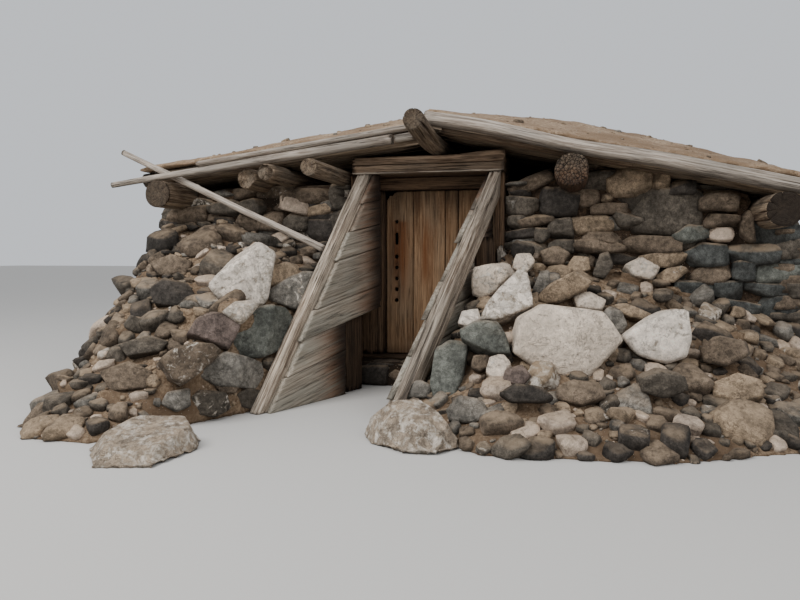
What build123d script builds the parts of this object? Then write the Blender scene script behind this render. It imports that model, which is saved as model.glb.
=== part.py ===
from build123d import *
import math
import os

# Root cellar with dry-laid stone walls, a log roof under earth, a plank door
# and an entry passage between two sloping plank cheeks.
# Millimetres. X runs along the front to the right, Y into the cellar, Z up.
# Zero is under the middle of the doorway, on the lowest ground.

# Fits between pieces
GAP = 0.3
POCKET_GAP = 0.5
DOOR_GAP = 10.0
BOARD_GAP = 3.0
OVERCUT = 1.0

# Stone walls
WALL = 500.0
DEPTH = 4800.0
LEFT_END = -2630.0
RIGHT_END = 2985.0
FRONT = -WALL / 2
BACK = FRONT + DEPTH
FACE_PROUD = 45.0
FACE_WIDE = 440.0
FACE_HIGH = 270.0
FACE_JOINT = 50.0
FACE_TAPER = 18.0
FACE_STEPS = (-0.35, 0.2, -0.1, 0.3, -0.25)
OPENING_HALF = 685.0
SILL = 250.0
THRESHOLD_THICK = 40.0

# Timber over the doorway
HEAD_UNDER = 1775.0
HEAD_HEIGHT = 115.0
HEADER_PROUD = 30.0
HEADER_DEEP = 150.0
HEADER_LEFT = -660.0
HEADER_RIGHT = 687.0
HEADER_LOWER = 80.0
HEADER_UPPER = 70.0
STRIP_THICK = 14.0
STRIP_PROUD = 12.0
FRAME_DEEP = 150.0
FRAME_FRONT = 20.0
JAMB_WIDE = 225.0
POST_WIDE = 80.0
POST_DEEP = 120.0

# Roof logs: place across the front, radius and how far each end shows
RIDGE_X = 90.0
RIDGE_R = 82.5
RIDGE_OUT = 850.0
RIDGE_LEVEL_OUT = 250.0
RIDGE_LIFT = 75.0
RIDGE_BEND_R = 1200.0
INNER_R = 72.0
INNER_ASIDE = 8.0
INNER_OUT = 800.0
MID_X = -1300.0
MID_R = 85.0
MID_OUT = 450.0
OUTER_X = -1550.0
OUTER_R = 92.0
OUTER_OUT = 300.0
EAVE_L_X = LEFT_END + WALL / 2
EAVE_L_R = 120.0
EAVE_L_OUT = 400.0
KNOT_X = 1240.0
KNOT_R = 130.0
KNOT_OUT = 500.0
EAVE_R_X = RIGHT_END - WALL / 2
EAVE_R_R = 130.0
EAVE_R_OUT = 420.0
LOG_BACK_OUT = 200.0
SEAT_DEPTH = 8.0
RIGHT_WALL_DROP = 10.0
WALL_CLEAR = 12.0
KNOT_SEAT = 43.0

# Roof poles laid down the slopes
POLE_R = 70.0
POLE_SIDES = 12
POLE_PITCH = 141.0
LEFT_FALL = 0.11
RIGHT_FALL = 0.2136
POLE_FIRST_Y = -330.0
POLE_OUT_LEFT = 220.0
POLE_OUT_RIGHT = 100.0

# Front poles
BARGE_Y = -600.0
BARGE_L_PAST = 250.0
BARGE_L_TIP_R = 26.0
BARGE_L_R = 44.0
BARGE_SIDES = 16
BARGE_STUB_X = -190.0
BARGE_STUB_R = 33.0
SPLIT_TIP_X = -2000.0
SPLIT_R = 52.0
BARGE_R_R = 58.0
BARGE_R_PAST = 25.0
BARGE_R_BEND = 4000.0
BARGE_R_RIDGE_LIFT = 21.0
BARGE_R_HUMPS = ((560.0, 38.0), (1900.0, 18.0))
SLAB_THICK = 42.0
SLAB_WIDE = 120.0
SLAB_END = 1700.0

# Loose pole that leans on the left rubble
LOOSE_R = 30.0
LOOSE_PAST = 230.0
LOOSE_TOP_Y = -450.0
LOOSE_TOP_Z = 2140.0
LOOSE_FOOT_Y = -700.0
LOOSE_FOOT_Z = 1228.0

# Earth on the roof: thickness over the poles at places across the slope
EARTH_EDGE = 45.0
EARTH_FRONT = -440.0
EARTH_CROWN_Y = 900.0
EARTH_REAR_Y = 3900.0
EARTH_END = 4700.0
EARTH_SPLIT = 12.0
EARTH_THIN = 0.12
EARTH_THIN_BACK = 0.2
EARTH_PAST_LEFT = 110.0
EARTH_IN_RIGHT = 35.0
EARTH_LEFT = (
    (LEFT_END - EARTH_PAST_LEFT, EARTH_EDGE),
    (-2300.0, 150.0),
    (-800.0, 350.0),
    (EARTH_SPLIT, 400.0),
)
EARTH_RIGHT = (
    (RIGHT_END - EARTH_IN_RIGHT, EARTH_EDGE),
    (2720.0, 165.0),
    (2400.0, 300.0),
    (1860.0, 380.0),
    (1100.0, 395.0),
    (EARTH_SPLIT, 265.0),
)

# Rubble banks: depth and height of their edges, then the places of their shoulders
BANK_IN = 30.0
BANK_L_CHEEK_TOP = 1100.0
BANK_L_MIDDLE_TOP = (-1900.0, 1530.0)
BANK_L_END_TOP = 1480.0
BANK_L_CHEEK_FOOT = (-1450.0, 160.0)
BANK_L_FEET = ((-1650.0, -2600.0), (-2100.0, -2550.0))
BANK_L_END_FOOT = -1900.0
BANK_L_SHOULDERS = ((-1600.0, -1750.0, 430.0), (-2400.0, -1500.0, 500.0), (-1050.0, -850.0, 1120.0))
BANK_R_CHEEK_TOP = 1280.0
BANK_R_MIDDLE_TOP = (1800.0, 1080.0)
BANK_R_END_TOP = 620.0
BANK_R_CHEEK_FOOT = (-1620.0, 180.0)
BANK_R_FEET = ((780.0, -2250.0), (1900.0, -2100.0))
BANK_R_END_FOOT = -1500.0
BANK_R_SHOULDERS = ((1200.0, -1450.0, 520.0), (2300.0, -1200.0, 420.0))

# Boulders of the banks: place, length, width, how far each stands out and its turn
BOULDERS_LEFT = (
    (-1330.0, -1020.0, 520.0, 480.0, 90.0, 10.0),
    (-1240.0, -1400.0, 420.0, 380.0, 130.0, -20.0),
    (-1600.0, -1450.0, 360.0, 260.0, 100.0, 0.0),
    (-1400.0, -1900.0, 420.0, 280.0, 110.0, 30.0),
    (-1960.0, -1120.0, 360.0, 240.0, 100.0, -15.0),
    (-2060.0, -1600.0, 380.0, 250.0, 90.0, 20.0),
    (-2150.0, -2100.0, 360.0, 260.0, 90.0, -30.0),
    (-1780.0, -2200.0, 340.0, 230.0, 90.0, 10.0),
    (-1800.0, -700.0, 340.0, 220.0, 80.0, 5.0),
    (-2200.0, -760.0, 330.0, 220.0, 80.0, 0.0),
)
BOULDERS_RIGHT = (
    (700.0, -680.0, 300.0, 260.0, 80.0, 0.0),
    (880.0, -980.0, 340.0, 400.0, 110.0, 15.0),
    (1230.0, -740.0, 400.0, 240.0, 90.0, 10.0),
    (1260.0, -1290.0, 740.0, 480.0, 110.0, 0.0),
    (1860.0, -1030.0, 480.0, 380.0, 110.0, -10.0),
    (740.0, -1420.0, 320.0, 260.0, 90.0, 20.0),
    (1020.0, -1820.0, 360.0, 200.0, 90.0, -15.0),
    (1750.0, -1560.0, 400.0, 280.0, 90.0, 20.0),
    (2330.0, -1130.0, 400.0, 260.0, 90.0, -20.0),
    (1900.0, -560.0, 360.0, 220.0, 80.0, 0.0),
    (2480.0, -640.0, 380.0, 240.0, 80.0, 10.0),
)
TOE_BOULDER_FEET = ((-60.0, -1900.0), (60.0, -2130.0), (310.0, -2300.0), (520.0, -2290.0), (660.0, -2050.0))
TOE_BOULDER_TOP = (
    (0.0, -1960.0, 150.0),
    (150.0, -1960.0, 270.0),
    (330.0, -1940.0, 280.0),
    (470.0, -2010.0, 230.0),
    (560.0, -2120.0, 180.0),
    (380.0, -2230.0, 170.0),
    (160.0, -2130.0, 160.0),
)
TOE_SLAB_FEET = (
    (-1290.0, -3000.0),
    (-960.0, -2920.0),
    (-900.0, -2520.0),
    (-1000.0, -2300.0),
    (-1560.0, -2380.0),
    (-1560.0, -2680.0),
)
TOE_SLAB_TOP = (
    (-1300.0, -2880.0, 90.0),
    (-1000.0, -2800.0, 110.0),
    (-960.0, -2500.0, 160.0),
    (-1080.0, -2360.0, 190.0),
    (-1400.0, -2420.0, 180.0),
    (-1470.0, -2650.0, 120.0),
)
BOULDER_CORNERS = (1.0, 0.88, 1.04, 0.9, 1.0, 0.94, 0.86)
BOULDER_SUNK = 60.0
BOULDER_TOP = 0.62

# Entry passage: two cheeks that slant to the left as they come forward
SKEW = 20.0
GROUND_FALL = 0.195
STRING_THICK = 100.0
PLANK_THICK = 50.0
POST_IN_CHEEK = 90.0

LEFT_CHEEK_X = -540.0
LEFT_STRING_TOP = 1861.0
LEFT_STRING_FALL = 1.425
LEFT_STRING_WIDE = 140.0
LEFT_STRING_START = -60.0
LEFT_PLANK_START = -95.0
LEFT_PLANK_LINES = (1656.0, 1441.0, 1234.0, 895.0, 696.0, 465.0)
LEFT_PLANK_RAGGED = (20.0, -25.0, 15.0, -10.0, 30.0, -20.0, 10.0)
LEFT_BROKEN_FROM = 5
LEFT_BROKEN_START = 410.0
LEFT_POST = (120.0, 340.0)

RIGHT_CHEEK_X = 620.0
RIGHT_STRING_TOP = 1814.5
RIGHT_STRING_FALL = 1.187
RIGHT_STRING_WIDE = 150.0
RIGHT_STRING_START = 20.0
RIGHT_PLANK_START = -50.0
RIGHT_PLANK_LINES = (1610.0, 1385.0, 1130.0, 905.0, 690.0, 470.0)
RIGHT_PLANK_RAGGED = (60.0, 95.0, 50.0, 100.0, 60.0, 95.0, 70.0)
RIGHT_POST = (120.0, 300.0)
RIGHT_LOWEST = 6
RIGHT_LOWEST_START = 45.0

# Door
DOOR_FACE = 100.0
DOOR_BOARD = 30.0
LEDGE_THICK = 30.0
LEDGE_HIGH = 130.0
LEDGE_SET_IN = 50.0
LEDGE_HEIGHTS = (480.0, 1000.0, 1500.0)
BOARD_JOINTS = (-190.0, 115.0, 235.0)
HOLE_X = -350.0
HOLE_R = 19.0
HOLE_TOP_Z = 1490.0
SLOT_Z = 1332.0
SLOT_LONG = 112.0
HOLE_ROW_Z = 1164.0
HOLE_PITCH = 102.0
HOLE_COUNT = 5
ROT_WIDE = 120.0
ROT_DEEP = 75.0

# Door hinges
STRAP_THICK = 6.0
STRAP_HIGH = 40.0
STRAP_LONG = 620.0
EYE_R = 15.0
PIN_R = 6.0
PIN_GAP = 0.5
EYE_INSET = 10.0
PIN_ABOVE = 12.0
EYE_LIFT = 1.5
BRACKET_HIGH = 16.0
BRACKET_LONG = 60.0
BRACKET_PLATE_HIGH = 110.0
HINGED_LEDGES = (LEDGE_HEIGHTS[0], LEDGE_HEIGHTS[-1])

# Heights and places worked out from the sizes above
HEADER_UNDER = HEAD_UNDER + HEAD_HEIGHT
HEADER_TOP = HEADER_UNDER + HEADER_LOWER + HEADER_UPPER
HEADER_FRONT = FRONT - HEADER_PROUD
FRAME_BACK = FRAME_FRONT + FRAME_DEEP
JAMB_FACE = OPENING_HALF - JAMB_WIDE
DOOR_HALF = JAMB_FACE - DOOR_GAP
BARGE_L_TIP_X = LEFT_END - BARGE_L_PAST
BARGE_R_END = RIGHT_END + BARGE_R_PAST
RIDGE_Z = HEADER_TOP + RIDGE_R + GAP
INNER_X = -OPENING_HALF - INNER_R - INNER_ASIDE
LEFT_COS = math.cos(math.atan(LEFT_FALL))
RIGHT_COS = math.cos(math.atan(RIGHT_FALL))
LOG_END = BACK + LOG_BACK_OUT


def left_underside(x):
    """Height of the underside of the left roof poles, which lie on the end of the header."""
    return HEADER_TOP + GAP + LEFT_FALL * (x - HEADER_LEFT)


def right_underside(x):
    """Height of the underside of the right roof poles, which lie on the ridge log."""
    return RIDGE_Z + (RIDGE_R + GAP) / RIGHT_COS - RIGHT_FALL * (x - RIDGE_X)


def under_left(x, radius):
    """Centre height of a log that the left poles rest on."""
    return left_underside(x) - (radius + GAP) / LEFT_COS


def under_right(x, radius):
    """Centre height of a log that the right poles rest on."""
    return right_underside(x) - (radius + GAP) / RIGHT_COS


def box(x0, x1, y0, y1, z0, z1):
    """Squared timber or slab between six faces."""
    size = (x1 - x0, y1 - y0, z1 - z0)
    return Pos(x0, y0, z0) * Box(*size, align=(Align.MIN, Align.MIN, Align.MIN))


def log(start, end, radius):
    """Round timber between two points."""
    run = Vector(end) - Vector(start)
    body = Cylinder(radius, run.length, align=(Align.CENTER, Align.CENTER, Align.MIN))
    return Plane(origin=start, z_dir=run) * body


def bent_log(points, radius, bend):
    """Round timber along straight runs joined by gentle bends."""
    path = FilletPolyline(*points, radius=bend)
    return sweep(Plane(origin=path @ 0, z_dir=path % 0) * Circle(radius), path=path)


def slab_along_y(outline, y0, y1):
    """Solid with an outline drawn across the front, between two depths."""
    face = Plane.XZ.offset(-y1) * make_face(Polyline(*outline, close=True))
    return extrude(face, amount=y1 - y0)


def hewn_pole(start, end, radius, end_radius, sides):
    """Timber dressed with flats between two points, tapering between its radii."""
    ends = []
    for place, reach in ((start, radius), (end, end_radius)):
        flats = RegularPolygon(reach, sides, major_radius=False, rotation=180 / sides)
        ends.append(Plane(origin=place, z_dir=end - start, x_dir=(0, 1, 0)) * flats)
    return loft(ends, ruled=True)


def pole_on_slope(x0, x1, y, radius, underside, cosine):
    """Pole whose underside follows a slope line."""
    start, end = [Vector(x, y, underside(x) + radius / cosine) for x in (x0, x1)]
    return hewn_pole(start, end, radius, radius, POLE_SIDES)


# Roof logs that run from front to back
MID_Z = under_left(MID_X, MID_R)
OUTER_Z = under_left(OUTER_X, OUTER_R)
EAVE_L_Z = under_left(EAVE_L_X, EAVE_L_R)
KNOT_Z = under_right(KNOT_X, KNOT_R)
EAVE_R_Z = under_right(EAVE_R_X, EAVE_R_R)
LEFT_WALL_TOP = MID_Z - MID_R + SEAT_DEPTH
INNER_Z = LEFT_WALL_TOP + INNER_R - SEAT_DEPTH
RIGHT_WALL_LOW = LEFT_WALL_TOP - RIGHT_WALL_DROP
SIDE_L_TOP = EAVE_L_Z - EAVE_L_R - GAP
SIDE_R_TOP = EAVE_R_Z - EAVE_R_R - GAP


def ridge_log(radius=RIDGE_R):
    """Ridge log, level on the header and bent up where it reaches out in front."""
    tip = (RIDGE_X, FRONT - RIDGE_OUT, RIDGE_Z + RIDGE_LIFT)
    points = [tip, (RIDGE_X, FRONT - RIDGE_LEVEL_OUT, RIDGE_Z), (RIDGE_X, LOG_END, RIDGE_Z)]
    return bent_log(points, radius, RIDGE_BEND_R)


def purlin(x, z, radius, out):
    """Straight log from its front end to behind the back wall."""
    return log((x, FRONT - out, z), (x, LOG_END, z), radius)


PURLINS = {
    "purlin_left_inner": (INNER_X, INNER_Z, INNER_R, INNER_OUT),
    "purlin_left_middle": (MID_X, MID_Z, MID_R, MID_OUT),
    "purlin_left_outer": (OUTER_X, OUTER_Z, OUTER_R, OUTER_OUT),
    "eave_log_left": (EAVE_L_X, EAVE_L_Z, EAVE_L_R, EAVE_L_OUT),
    "purlin_right": (KNOT_X, KNOT_Z, KNOT_R, KNOT_OUT),
    "eave_log_right": (EAVE_R_X, EAVE_R_Z, EAVE_R_R, EAVE_R_OUT),
}


def cut_logs(wall):
    """Leave a seat in a wall for every log that lies in it."""
    for x, z, radius, out in PURLINS.values():
        wall -= purlin(x, z, radius + POCKET_GAP, out)
    return wall


# Stone walls, in pieces beside the doorway and under the logs
def front_wall_left():
    outline = [
        (LEFT_END, 0.0),
        (-OPENING_HALF, 0.0),
        (-OPENING_HALF, LEFT_WALL_TOP),
        (MID_X - MID_R, LEFT_WALL_TOP),
        (EAVE_L_X + EAVE_L_R, left_underside(EAVE_L_X + EAVE_L_R) - 2 * WALL_CLEAR - EAVE_L_R / 2),
        (EAVE_L_X, SIDE_L_TOP),
        (LEFT_END, SIDE_L_TOP),
    ]
    return cut_logs(slab_along_y(outline, FRONT, FRONT + WALL))


def front_wall_right():
    near_knot = KNOT_X - KNOT_R
    past_knot = KNOT_X + KNOT_R
    outline = [
        (OPENING_HALF, 0.0),
        (RIGHT_END, 0.0),
        (RIGHT_END, SIDE_R_TOP),
        (EAVE_R_X, SIDE_R_TOP),
        (EAVE_R_X - EAVE_R_R, right_underside(EAVE_R_X - EAVE_R_R) - WALL_CLEAR),
        (past_knot, right_underside(past_knot) - WALL_CLEAR),
        (near_knot, KNOT_Z + KNOT_SEAT),
        (OPENING_HALF, RIGHT_WALL_LOW),
    ]
    return cut_logs(slab_along_y(outline, FRONT, FRONT + WALL))


def side_wall(outside, side, top):
    """Wall with large stones in courses, proud of its core on the outer face."""
    core = outside - side * FACE_PROUD
    inside = outside - side * WALL
    wall = box(min(core, inside), max(core, inside), FRONT + WALL, BACK - WALL, 0.0, top)
    course_count = round(top / FACE_HIGH)
    course = top / course_count
    length = DEPTH - 2 * WALL
    stone_count = round(length / FACE_WIDE)
    for row in range(course_count):
        shift = FACE_STEPS[row % len(FACE_STEPS)]
        joints = [length * (i + shift) / stone_count for i in range(1, stone_count)]
        ends = [0.0] + joints + [length]
        for near, far in zip(ends, ends[1:]):
            middle = FRONT + WALL + (near + far) / 2
            face = Plane(origin=(core, middle, (row + 0.5) * course), x_dir=(0, 1, 0), z_dir=(side, 0, 0))
            stone = Rectangle(far - near - FACE_JOINT, course - FACE_JOINT)
            wall += extrude(face * stone, amount=FACE_PROUD, taper=FACE_TAPER)
    return wall


def side_wall_left():
    return side_wall(LEFT_END, -1, SIDE_L_TOP)


def side_wall_right():
    return side_wall(RIGHT_END, 1, SIDE_R_TOP)


def back_wall():
    return box(LEFT_END, RIGHT_END, BACK - WALL, BACK, 0.0, SIDE_R_TOP)


def back_gable():
    """Stone under the roof poles at the back, with a seat for each log."""
    meet = RIDGE_X - RIDGE_R
    outline = [
        (LEFT_END, SIDE_R_TOP),
        (RIGHT_END - WALL / 2, SIDE_R_TOP),
        (EAVE_R_X - EAVE_R_R, right_underside(EAVE_R_X - EAVE_R_R) - WALL_CLEAR),
        (RIDGE_X, right_underside(RIDGE_X) - WALL_CLEAR),
        (meet, left_underside(meet) - WALL_CLEAR),
        (EAVE_L_X + EAVE_L_R, left_underside(EAVE_L_X + EAVE_L_R) - WALL_CLEAR),
        (EAVE_L_X, SIDE_L_TOP),
        (LEFT_END, SIDE_L_TOP),
    ]
    gable = cut_logs(slab_along_y(outline, BACK - WALL, BACK))
    return gable - ridge_log(RIDGE_R + POCKET_GAP)


def doorway_footing():
    """Stone step that joins the two halves of the front wall under the door."""
    return box(-OPENING_HALF, OPENING_HALF, FRONT, FRONT + WALL, 0.0, SILL - THRESHOLD_THICK)


def threshold():
    return box(-OPENING_HALF, OPENING_HALF, 0.0, FRONT + WALL, SILL - THRESHOLD_THICK, SILL)


# Timber frame of the doorway
def jamb(side):
    x0, x1 = sorted((side * JAMB_FACE, side * OPENING_HALF))
    return box(x0, x1, FRAME_FRONT, FRAME_BACK, SILL, HEAD_UNDER)


def door_head():
    return box(-OPENING_HALF, OPENING_HALF, FRAME_FRONT, FRAME_BACK, HEAD_UNDER, HEADER_UNDER)


def front_post(side):
    x0, x1 = sorted((side * (OPENING_HALF - POST_WIDE), side * OPENING_HALF))
    return box(x0, x1, FRONT, FRONT + POST_DEEP, SILL - THRESHOLD_THICK, HEADER_UNDER)


def header(low, high):
    return box(HEADER_LEFT, HEADER_RIGHT, HEADER_FRONT, HEADER_FRONT + HEADER_DEEP, low, high)


def header_strip():
    """Thin board nailed along the foot of the header."""
    return box(HEADER_LEFT, HEADER_RIGHT - BOARD_GAP, HEADER_FRONT - STRIP_PROUD, HEADER_FRONT,
               HEADER_UNDER, HEADER_UNDER + STRIP_THICK)


def lintel_beam(y0, y1):
    return box(HEADER_LEFT, OPENING_HALF, y0, y1, HEADER_UNDER, HEADER_TOP)


# Roof poles and front poles
def pole_rows():
    """Depths of the poles from the front to the back of the roof."""
    count = int((LOG_END - POLE_R - POLE_FIRST_Y) / POLE_PITCH) + 1
    return [POLE_FIRST_Y + POLE_PITCH * i for i in range(count)]


def roof_poles_left():
    x0 = EAVE_L_X - EAVE_L_R - POLE_OUT_LEFT
    x1 = RIDGE_X - RIDGE_R - POLE_R * LEFT_FALL
    return [pole_on_slope(x0, x1, y, POLE_R, left_underside, LEFT_COS) for y in pole_rows()]


def roof_poles_right():
    x0 = RIDGE_X - RIDGE_R / 2
    x1 = EAVE_R_X + EAVE_R_R + POLE_OUT_RIGHT
    return [pole_on_slope(x0, x1, y, POLE_R, right_underside, RIGHT_COS) for y in pole_rows()]


def barge_pole_left():
    """Tapered front pole on the left, with a thinner stub beside the ridge log."""
    butt = RIDGE_X - RIDGE_R - 2 * WALL_CLEAR
    tip = Vector(BARGE_L_TIP_X, BARGE_Y, left_underside(BARGE_L_TIP_X) + BARGE_L_TIP_R / LEFT_COS)
    neck = Vector(BARGE_STUB_X, BARGE_Y, left_underside(BARGE_STUB_X) + BARGE_L_R / LEFT_COS)
    end = Vector(butt, BARGE_Y, neck.Z + LEFT_FALL * (butt - BARGE_STUB_X))
    tapered = hewn_pole(tip, neck, BARGE_L_TIP_R, BARGE_L_R, BARGE_SIDES)
    return tapered + hewn_pole(neck, end, BARGE_STUB_R, BARGE_STUB_R, BARGE_SIDES)


def split_pole_left():
    """Half-round pole that lies flat side down on the left front pole."""
    x1 = RIDGE_X - RIDGE_R - 2 * WALL_CLEAR
    reach = (BARGE_STUB_X - BARGE_L_TIP_X)
    growth = 2 * (BARGE_L_R - BARGE_L_TIP_R) / reach

    def on_top(x):
        thick = 2 * BARGE_L_TIP_R + growth * (x - BARGE_L_TIP_X)
        return left_underside(x) + (thick + GAP) / LEFT_COS + GAP

    start = Vector(SPLIT_TIP_X, BARGE_Y, on_top(SPLIT_TIP_X))
    end = Vector(x1, BARGE_Y, on_top(x1))
    run = end - start
    side = Plane(origin=start, z_dir=run, x_dir=(0, 1, 0))
    half = make_face([CenterArc((0, 0), SPLIT_R, 0, 180), Line((-SPLIT_R, 0), (SPLIT_R, 0))])
    if side.y_dir.Z < 0:
        side = Plane(origin=start, z_dir=run, x_dir=(0, -1, 0))
    return extrude(side * half, amount=run.length)


def barge_pole_right():
    """Long front pole from the ridge log over the right purlin to the right eave."""
    def centre(x, lift=0.0):
        return (x, BARGE_Y, right_underside(x) + (BARGE_R_R + GAP) / RIGHT_COS + lift)

    upper, lower = BARGE_R_HUMPS
    past_eave = GAP + (lower[1] - GAP) * (EAVE_R_X - BARGE_R_END) / (EAVE_R_X - lower[0])
    points = [
        centre(RIDGE_X - RIDGE_R / 2, BARGE_R_RIDGE_LIFT),
        centre(*upper),
        centre(KNOT_X),
        centre(*lower),
        centre(BARGE_R_END, past_eave),
    ]
    return bent_log(points, BARGE_R_R, BARGE_R_BEND)


def barge_slab_right():
    """Thin split slab behind the right front pole, lying on the ridge log and purlin."""
    y1 = POLE_FIRST_Y - POLE_R - GAP
    points = [(x, right_underside(x) + GAP) for x in (RIDGE_X + RIDGE_R + WALL_CLEAR, SLAB_END)]
    outline = points + [(x, z + SLAB_THICK) for x, z in reversed(points)]
    return slab_along_y(outline, y1 - SLAB_WIDE, y1)


# Earth over the roof poles
def earth_half(places, underside, cosine):
    """Earth over one slope, thin at the front and back and full between."""
    foot = GAP + 2 * POLE_R / cosine
    sections = [
        (EARTH_FRONT, EARTH_THIN),
        (EARTH_CROWN_Y, 1.0),
        (EARTH_REAR_Y, 1.0),
        (EARTH_END, EARTH_THIN_BACK),
    ]
    edges = (places[0][0], places[-1][0])
    corners = [(x, y, underside(x) + foot) for x in edges for y in (EARTH_FRONT, EARTH_END)]
    for y, fullness in sections:
        corners += [(x, y, underside(x) + foot + max(EARTH_EDGE, thick * fullness))
                    for x, thick in places]
    return ConvexPolyhedron(corners)


# Entry passage
class Cheek:
    """Vertical plane of one passage wall: run goes forward, rise goes up."""

    def __init__(self, x, passage_side):
        angle = math.radians(SKEW)
        self.origin = Vector(x, FRONT, 0)
        self.forward = Vector(-math.sin(angle), -math.cos(angle), 0)
        self.normal = Vector(-math.cos(angle), math.sin(angle), 0)
        self.passage_side = passage_side

    def slab(self, outline, near, far):
        """Extrude an outline of run and rise between two distances towards the passage."""
        low, high = sorted((self.passage_side * near, self.passage_side * far))
        plane = Plane(origin=self.origin + self.normal * low, x_dir=self.forward, z_dir=self.normal)
        return extrude(plane * make_face(Polyline(*outline, close=True)), amount=high - low)

    def face_x(self, y, offset):
        """Place across the front of a face at one depth, offset towards the passage."""
        angle = math.radians(SKEW)
        shift = -self.passage_side * offset / math.cos(angle)
        return self.origin.X + math.tan(angle) * (y - FRONT) + shift


LEFT_CHEEK = Cheek(LEFT_CHEEK_X, -1)
RIGHT_CHEEK = Cheek(RIGHT_CHEEK_X, 1)


def string(cheek, top, fall, wide, start):
    """Sloping timber from the header down to the ground."""
    half = wide / 2 * math.hypot(1.0, fall)
    ceiling = HEADER_UNDER - GAP
    outline = [
        (start, ceiling),
        ((top + half - ceiling) / fall, ceiling),
        ((top + half) / fall, 0.0),
        ((top - half) / fall, 0.0),
        (start, top - half - fall * start),
    ]
    return cheek.slab(outline, -STRING_THICK / 2, STRING_THICK / 2)


def planks(cheek, top, fall, start, lines, ragged, broken_from, broken_start):
    """Planks of one passage wall, each falling forward with the ground."""
    solids = []
    tops = (None,) + lines
    bottoms = lines + (None,)
    for i, (upper, lower) in enumerate(zip(tops, bottoms)):
        back = broken_start if i >= broken_from else start
        edge = top + ragged[i]

        def meet(line):
            return (edge - line) / (fall - GROUND_FALL)

        if upper is None:
            ceiling = HEADER_UNDER - GAP
            crest = [(back, ceiling), ((edge - ceiling) / fall, ceiling)]
            if (edge - ceiling) / fall <= back:
                crest = [(back, edge - fall * back)]
        else:
            under = upper - BOARD_GAP
            crest = [(back, under - GROUND_FALL * back), (meet(under), under - GROUND_FALL * meet(under))]
        if lower is None:
            foot = [(edge / fall, 0.0), (back, 0.0)]
        else:
            foot = [(meet(lower), lower - GROUND_FALL * meet(lower)), (back, lower - GROUND_FALL * back)]
        solids.append(cheek.slab(crest + foot, STRING_THICK / 2, STRING_THICK / 2 + PLANK_THICK))
    return solids


def cheek_post(cheek, top, fall, wide, span):
    """Post behind the planks that holds their back ends."""
    half = wide / 2 * math.hypot(1.0, fall)
    height = top - half - fall * span[1] - WALL_CLEAR
    outline = [(span[0], 0.0), (span[1], 0.0), (span[1], height), (span[0], height)]
    return cheek.slab(outline, STRING_THICK / 2 - POST_IN_CHEEK, STRING_THICK / 2)


# Rubble banked against the front wall and the cheeks
def bank(cheek, far, cheek_top, middle_top, end_top, cheek_foot, feet, end_foot, shoulders):
    """Sloping heap between a cheek and the end of the front wall."""
    outer = -STRING_THICK / 2 - GAP
    x_wall = cheek.face_x(FRONT, outer)
    foot_y, foot_z = cheek_foot
    x_foot = cheek.face_x(foot_y, outer)
    ground = [(x, y, 0.0) for x, y in feet]
    return ConvexPolyhedron([
        (x_wall, FRONT, 0.0),
        (x_wall, FRONT, cheek_top),
        (middle_top[0], FRONT, middle_top[1]),
        (far, FRONT, 0.0),
        (far, FRONT, end_top),
        (x_foot, foot_y, 0.0),
        (x_foot, foot_y, foot_z),
        (far, end_foot, 0.0),
        *ground,
        *shoulders,
    ])


def boulder(heap, x, y, long, wide, proud, turn):
    """Many-sided stone that lies in the slope of a heap."""
    up = Axis((x, y, 0), (0, 0, 1))
    spot, normal = max(heap.find_intersection_points(up), key=lambda found: found[0].Z)
    angle = math.radians(turn)
    seat = Plane(origin=spot, x_dir=(math.cos(angle), math.sin(angle), 0), z_dir=normal)
    corners = []
    for i, reach in enumerate(BOULDER_CORNERS):
        round_by = 2 * math.pi * i / len(BOULDER_CORNERS)
        across = Vector(reach * long / 2 * math.cos(round_by), reach * wide / 2 * math.sin(round_by))
        corners.append(seat.from_local_coords(across + Vector(0, 0, -BOULDER_SUNK)))
        corners.append(seat.from_local_coords(across * BOULDER_TOP + Vector(0, 0, proud)))
    return ConvexPolyhedron(corners)


def with_boulders(heap, rows):
    return heap + [boulder(heap, *row) for row in rows]


def bank_left():
    heap = bank(LEFT_CHEEK, LEFT_END + BANK_IN, BANK_L_CHEEK_TOP, BANK_L_MIDDLE_TOP, BANK_L_END_TOP,
                BANK_L_CHEEK_FOOT, BANK_L_FEET, BANK_L_END_FOOT, BANK_L_SHOULDERS)
    return with_boulders(heap, BOULDERS_LEFT)


def bank_right():
    heap = bank(RIGHT_CHEEK, RIGHT_END - BANK_IN, BANK_R_CHEEK_TOP, BANK_R_MIDDLE_TOP, BANK_R_END_TOP,
                BANK_R_CHEEK_FOOT, BANK_R_FEET, BANK_R_END_FOOT, BANK_R_SHOULDERS)
    return with_boulders(heap, BOULDERS_RIGHT)


def standing_stone(feet, top):
    """Stone on the ground, from the corners of its foot and of its top."""
    return ConvexPolyhedron([(x, y, 0.0) for x, y in feet] + list(top))


def toe_boulder_right():
    """Pale boulder at the foot of the right string."""
    return standing_stone(TOE_BOULDER_FEET, TOE_BOULDER_TOP) - bank_right()


def toe_slab_left():
    """Pale flat stone at the front corner of the left rubble."""
    return standing_stone(TOE_SLAB_FEET, TOE_SLAB_TOP) - bank_left()


# Loose pole
def loose_pole():
    """Thin pole that crosses the left front pole, with its foot against the left string."""
    face = LEFT_CHEEK.face_x(LOOSE_FOOT_Y, -STRING_THICK / 2)
    foot = Vector(face, LOOSE_FOOT_Y, LOOSE_FOOT_Z)
    top = Vector(LEFT_END - LOOSE_PAST, LOOSE_TOP_Y, LOOSE_TOP_Z)
    lean = (foot - top).normalized()
    reach = LOOSE_R * math.sqrt(1 - lean.dot(LEFT_CHEEK.normal) ** 2) + GAP
    return log(foot + LEFT_CHEEK.normal * reach, top, LOOSE_R)


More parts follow.
